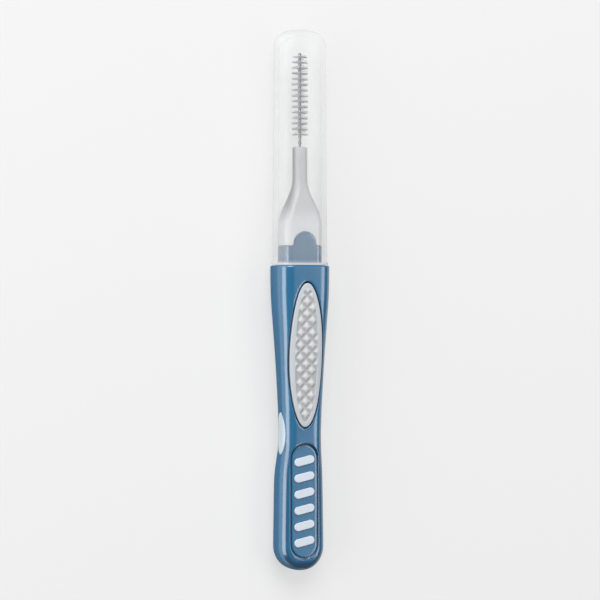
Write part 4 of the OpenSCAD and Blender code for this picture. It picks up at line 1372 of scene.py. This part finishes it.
def steel_finish(rgb):
    """Drawn stainless wire: metal with faint draw marks along it."""
    material, bench, shader, place = new_finish("drawn_steel_wire")
    marks = bench.noise(place, 0.05, stretch=(1, 0.15, 1))
    top = bench.blend(marks, rgba(rgb, 0.85), rgba(rgb, 1.1))
    bench.dress(shader, top, 0.26 + marks * 0.16, marks * (0.002 * MM))
    shader.inputs["Metallic"].default_value = 1.0
    return material


def frosted_finish(rgb):
    """Thin milky plastic: see-through on its flats, denser where its walls are seen edge on."""
    material, bench, shader, place = moulded(
        "frosted_cap", rgb, 0.2, swing=0.04, cloud=0.02, grain=0.5, grain_h=0.0015,
        constants={"Coat Weight": 0.35, "Coat Roughness": 0.08})
    milk = bench.noise(place, 6, stretch=(1, 0.35, 1))
    alpha = bench.value("veil") * 0.8 + milk * 0.04
    bench.tree.links.new(alpha.socket, shader.inputs["Alpha"])
    return material


def floor_finish(rgb):
    """A pale floor that keeps the shadow and looks whiter than it lights; in reflections close
    to the brush it is darkened with painted shade.
    """
    material, bench, shader, place = moulded(
        "pale_floor", rgb, 0.8, swing=0.02, cloud=0.004, grain=2, grain_h=0.001)
    rays = bench.add("ShaderNodeLightPath", output=None)
    camera, through, glossy = (Signal(bench, rays.outputs[kind]) for kind in (
        "Is Camera Ray", "Is Transmission Ray", "Is Glossy Ray"))
    # Painted shade: in reflections the floor is dark close to the brush, so the brush's flanks
    # mirror shade
    x = bench.add("ShaderNodeSeparateXYZ", {}, {0: place})
    far = (x.math("ABSOLUTE") / MM - DARK_TO) / DARK_OVER
    far = far.math("MINIMUM", 1.0).math("MAXIMUM", 0.0)
    seen = (camera + through).math("MINIMUM", 1.0) * FLOOR_SEEN + glossy * far * FLOOR_MIRRORED
    glow, painted_reflected_shade = (bench.add("ShaderNodeEmission", {}, {"Strength": strength})
                 for strength in (FLOOR_GLOW, FLOOR_REFLECTED_SHADE))
    both = bench.add("ShaderNodeMixShader", {}, {0: seen, 1: shader.outputs[0], 2: glow})
    both = bench.add("ShaderNodeMixShader", {}, {
        0: glossy * (1 - far) * DARK_SHARE, 1: both, 2: painted_reflected_shade})
    leave = bench.tree.nodes["Material Output"]
    bench.tree.links.new(both.socket, leave.inputs["Surface"])
    return material


class INTERDENTAL_OT_core(bpy.types.Operator):
    """Make the white core with its nozzle, plug and side bosses"""

    bl_idname = "interdental.core"
    bl_label = "White core"

    def execute(self, context):
        colours = context.scene.brush_colours
        core = make_core(Form(context.scene))
        # solid blends in the neck's grey, partly its clear plastic and partly painted shade on
        # its flanks
        finish = moulded("white_core", colours.core, 0.36, cloud=0.02,
                         under=[("solid", colours.neck), ("plain", colours.boss)],
                         constants={"Subsurface Weight": 0.12, "Subsurface Scale": 0.0006,
                                    "Coat Weight": 0.1})[0]
        settle(core, "handle", ["handle_core"], finish)
        return {"FINISHED"}


class INTERDENTAL_OT_grip(bpy.types.Operator):
    """Make the blue soft shell with its openings, band and tongues"""

    bl_idname = "interdental.grip"
    bl_label = "Blue grip"

    def execute(self, context):
        colours = context.scene.brush_colours
        grip = make_grip(Form(context.scene))
        finish = moulded("blue_soft_grip", colours.shell, 0.2, swing=0.03, grain=0.3,
                         grain_h=0.002,
                         under=[("thick", colours.sleeve), ("painted_groove_shade", colours.groove)],
                         constants={"Specular IOR Level": 1.0, "IOR": 1.65})[0]
        settle(grip, "handle", ["grip_shell"], finish)
        return {"FINISHED"}


class INTERDENTAL_OT_pads(bpy.types.Operator):
    """Make the front and rear grip pads"""

    bl_idname = "interdental.pads"
    bl_label = "Grip pads"

    def execute(self, context):
        form, colours = Form(context.scene), context.scene.brush_colours
        # The sunk field between the diamonds takes painted shade through raised
        finish = moulded("grey_pad", colours.pad_rim, 0.5, swing=0.06, cloud=0.04,
                         grain=0.16, grain_h=0.006,
                         under=[("rim", colours.pad), ("raised", colours.pad_field_shade),
                                ("painted_groove_shade", colours.groove)])[0]
        for name, node, back in (("front_pad", "front_grip_pad", False),
                                 ("rear_pad", "rear_grip_pad", True)):
            pad = make_pad(form, name, back)
            settle(pad, "handle", [node], finish, 50)
        return {"FINISHED"}


class INTERDENTAL_OT_bars(bpy.types.Operator):
    """Make the raised bars on the panel"""

    bl_idname = "interdental.bars"
    bl_label = "Panel bars"

    def execute(self, context):
        bars = make_bars(Form(context.scene))
        finish = moulded("white_bars", context.scene.brush_colours.bars, 0.34,
                         swing=0.04, cloud=0.03)[0]
        settle(bars, "handle", ["panel_marks"], finish)
        return {"FINISHED"}


class INTERDENTAL_OT_wire(bpy.types.Operator):
    """Make the twisted wire"""

    bl_idname = "interdental.wire"
    bl_label = "Twisted wire"

    def execute(self, context):
        scene = context.scene
        wire = make_wire(Form(scene), scene.brush_counts)
        settle(wire, "handle", ["twisted_wire"],
               steel_finish(scene.brush_colours.steel), 60)
        return {"FINISHED"}


class INTERDENTAL_OT_filaments(bpy.types.Operator):
    """Make the filament field"""

    bl_idname = "interdental.filaments"
    bl_label = "Filaments"

    def execute(self, context):
        scene = context.scene
        # The nylon's grey is darker than white nylon: painted shade of the filaments on one
        # another
        finish = moulded("white_nylon", scene.brush_colours.nylon, 0.35, swing=0.04,
                         cloud=0.03, grain=0.1, grain_h=0.001)[0]
        filaments = make_filaments(Form(scene), scene.brush_counts, finish)
        settle(filaments, "handle", ["bristles"], finish, 60)
        return {"FINISHED"}


class INTERDENTAL_OT_cap(bpy.types.Operator):
    """Make the frosted travel cap"""

    bl_idname = "interdental.cap"
    bl_label = "Travel cap"

    def execute(self, context):
        cap = make_cap(Form(context.scene))
        settle(cap, "cap", ["cap"],
               frosted_finish(context.scene.brush_colours.cap), 40)
        return {"FINISHED"}


class INTERDENTAL_OT_stage(bpy.types.Operator):
    """Make the floor, the lights and the camera"""

    bl_idname = "interdental.stage"
    bl_label = "Stage"

    def execute(self, context):
        scene = context.scene
        corners = [(x * FLOOR_HALF, y * FLOOR_HALF, 0)
                   for x, y in ((-1, -1), (1, -1), (1, 1), (-1, 1))]
        floor = mesh_object("floor", corners, [(0, 1, 2, 3)])
        floor.location.z = -FLOOR_DROP
        floor.data.materials.append(floor_finish(scene.brush_colours.floor))
        floor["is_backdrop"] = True
        lo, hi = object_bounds()
        centre = (lo + hi) / 2
        for name, left, ahead, wide, long, power in LIGHTS:
            lamp = bpy.data.lights.new(name, "AREA")
            lamp.shape, lamp.size, lamp.size_y, lamp.energy = "RECTANGLE", wide, long, power
            obj = bpy.data.objects.new(name, lamp)
            a, b = math.radians(left), math.radians(ahead)
            obj.location = centre + LIGHT_DISTANCE * Vector(
                (-math.sin(a), math.tan(b), math.cos(a)))
            obj.rotation_euler = (-b, -a, 0)
            scene.collection.objects.link(obj)
        world = bpy.data.worlds.new("pale_world")
        world.use_nodes = True
        sky = world.node_tree.nodes["Background"]
        sky.inputs["Color"].default_value = (1, 1, 1, 1)
        sky.inputs["Strength"].default_value = WORLD_STRENGTH
        scene.world = world
        turn = math.radians(VIEW_TURN)
        way = Vector((-math.sin(turn), 0, math.cos(turn)))
        view_h = (hi.y - lo.y) * IMAGE_H / BRUSH_H
        lens = bpy.data.cameras.new("camera")
        lens.lens = LENS
        distance = view_h / lens.sensor_width * lens.lens
        lens.clip_start, lens.clip_end = 0.01, 10
        camera = bpy.data.objects.new("camera", lens)
        camera.location = centre + way * distance
        camera.rotation_euler = (0, -turn, 0)
        scene.collection.objects.link(camera)
        scene.camera = camera
        scene.view_settings.view_transform = "Standard"
        return {"FINISHED"}


PIECES = (INTERDENTAL_OT_core, INTERDENTAL_OT_grip, INTERDENTAL_OT_pads, INTERDENTAL_OT_bars,
          INTERDENTAL_OT_wire, INTERDENTAL_OT_filaments, INTERDENTAL_OT_cap,
          INTERDENTAL_OT_stage)


class INTERDENTAL_PT_brush(bpy.types.Panel):
    """Lists the brush's pieces and its settings"""

    bl_idname = "INTERDENTAL_PT_brush"
    bl_label = "Interdental brush"
    bl_space_type = "VIEW_3D"
    bl_region_type = "UI"
    bl_category = "Brush"

    def draw(self, context):
        scene = context.scene
        for piece in PIECES:
            self.layout.operator(piece.bl_idname)
        for group in (scene.brush_colours, scene.brush_counts, scene.brush_lengths):
            box = self.layout.box()
            for key in type(group).__annotations__:
                box.prop(group, key)


GROUPS = {"brush_lengths": BrushLengths, "brush_counts": BrushCounts,
          "brush_colours": BrushColours}


def register():
    for made in (*GROUPS.values(), *PIECES, INTERDENTAL_PT_brush):
        bpy.utils.register_class(made)
    for name, group in GROUPS.items():
        setattr(bpy.types.Scene, name, bpy.props.PointerProperty(type=group))


def unregister():
    for name in GROUPS:
        delattr(bpy.types.Scene, name)
    for made in (INTERDENTAL_PT_brush, *reversed(PIECES), *reversed(GROUPS.values())):
        bpy.utils.unregister_class(made)


def main():
    register()
    for piece in PIECES:
        family, name = piece.bl_idname.split(".")
        getattr(getattr(bpy.ops, family), name)()


if __name__ == "__main__":
    main()
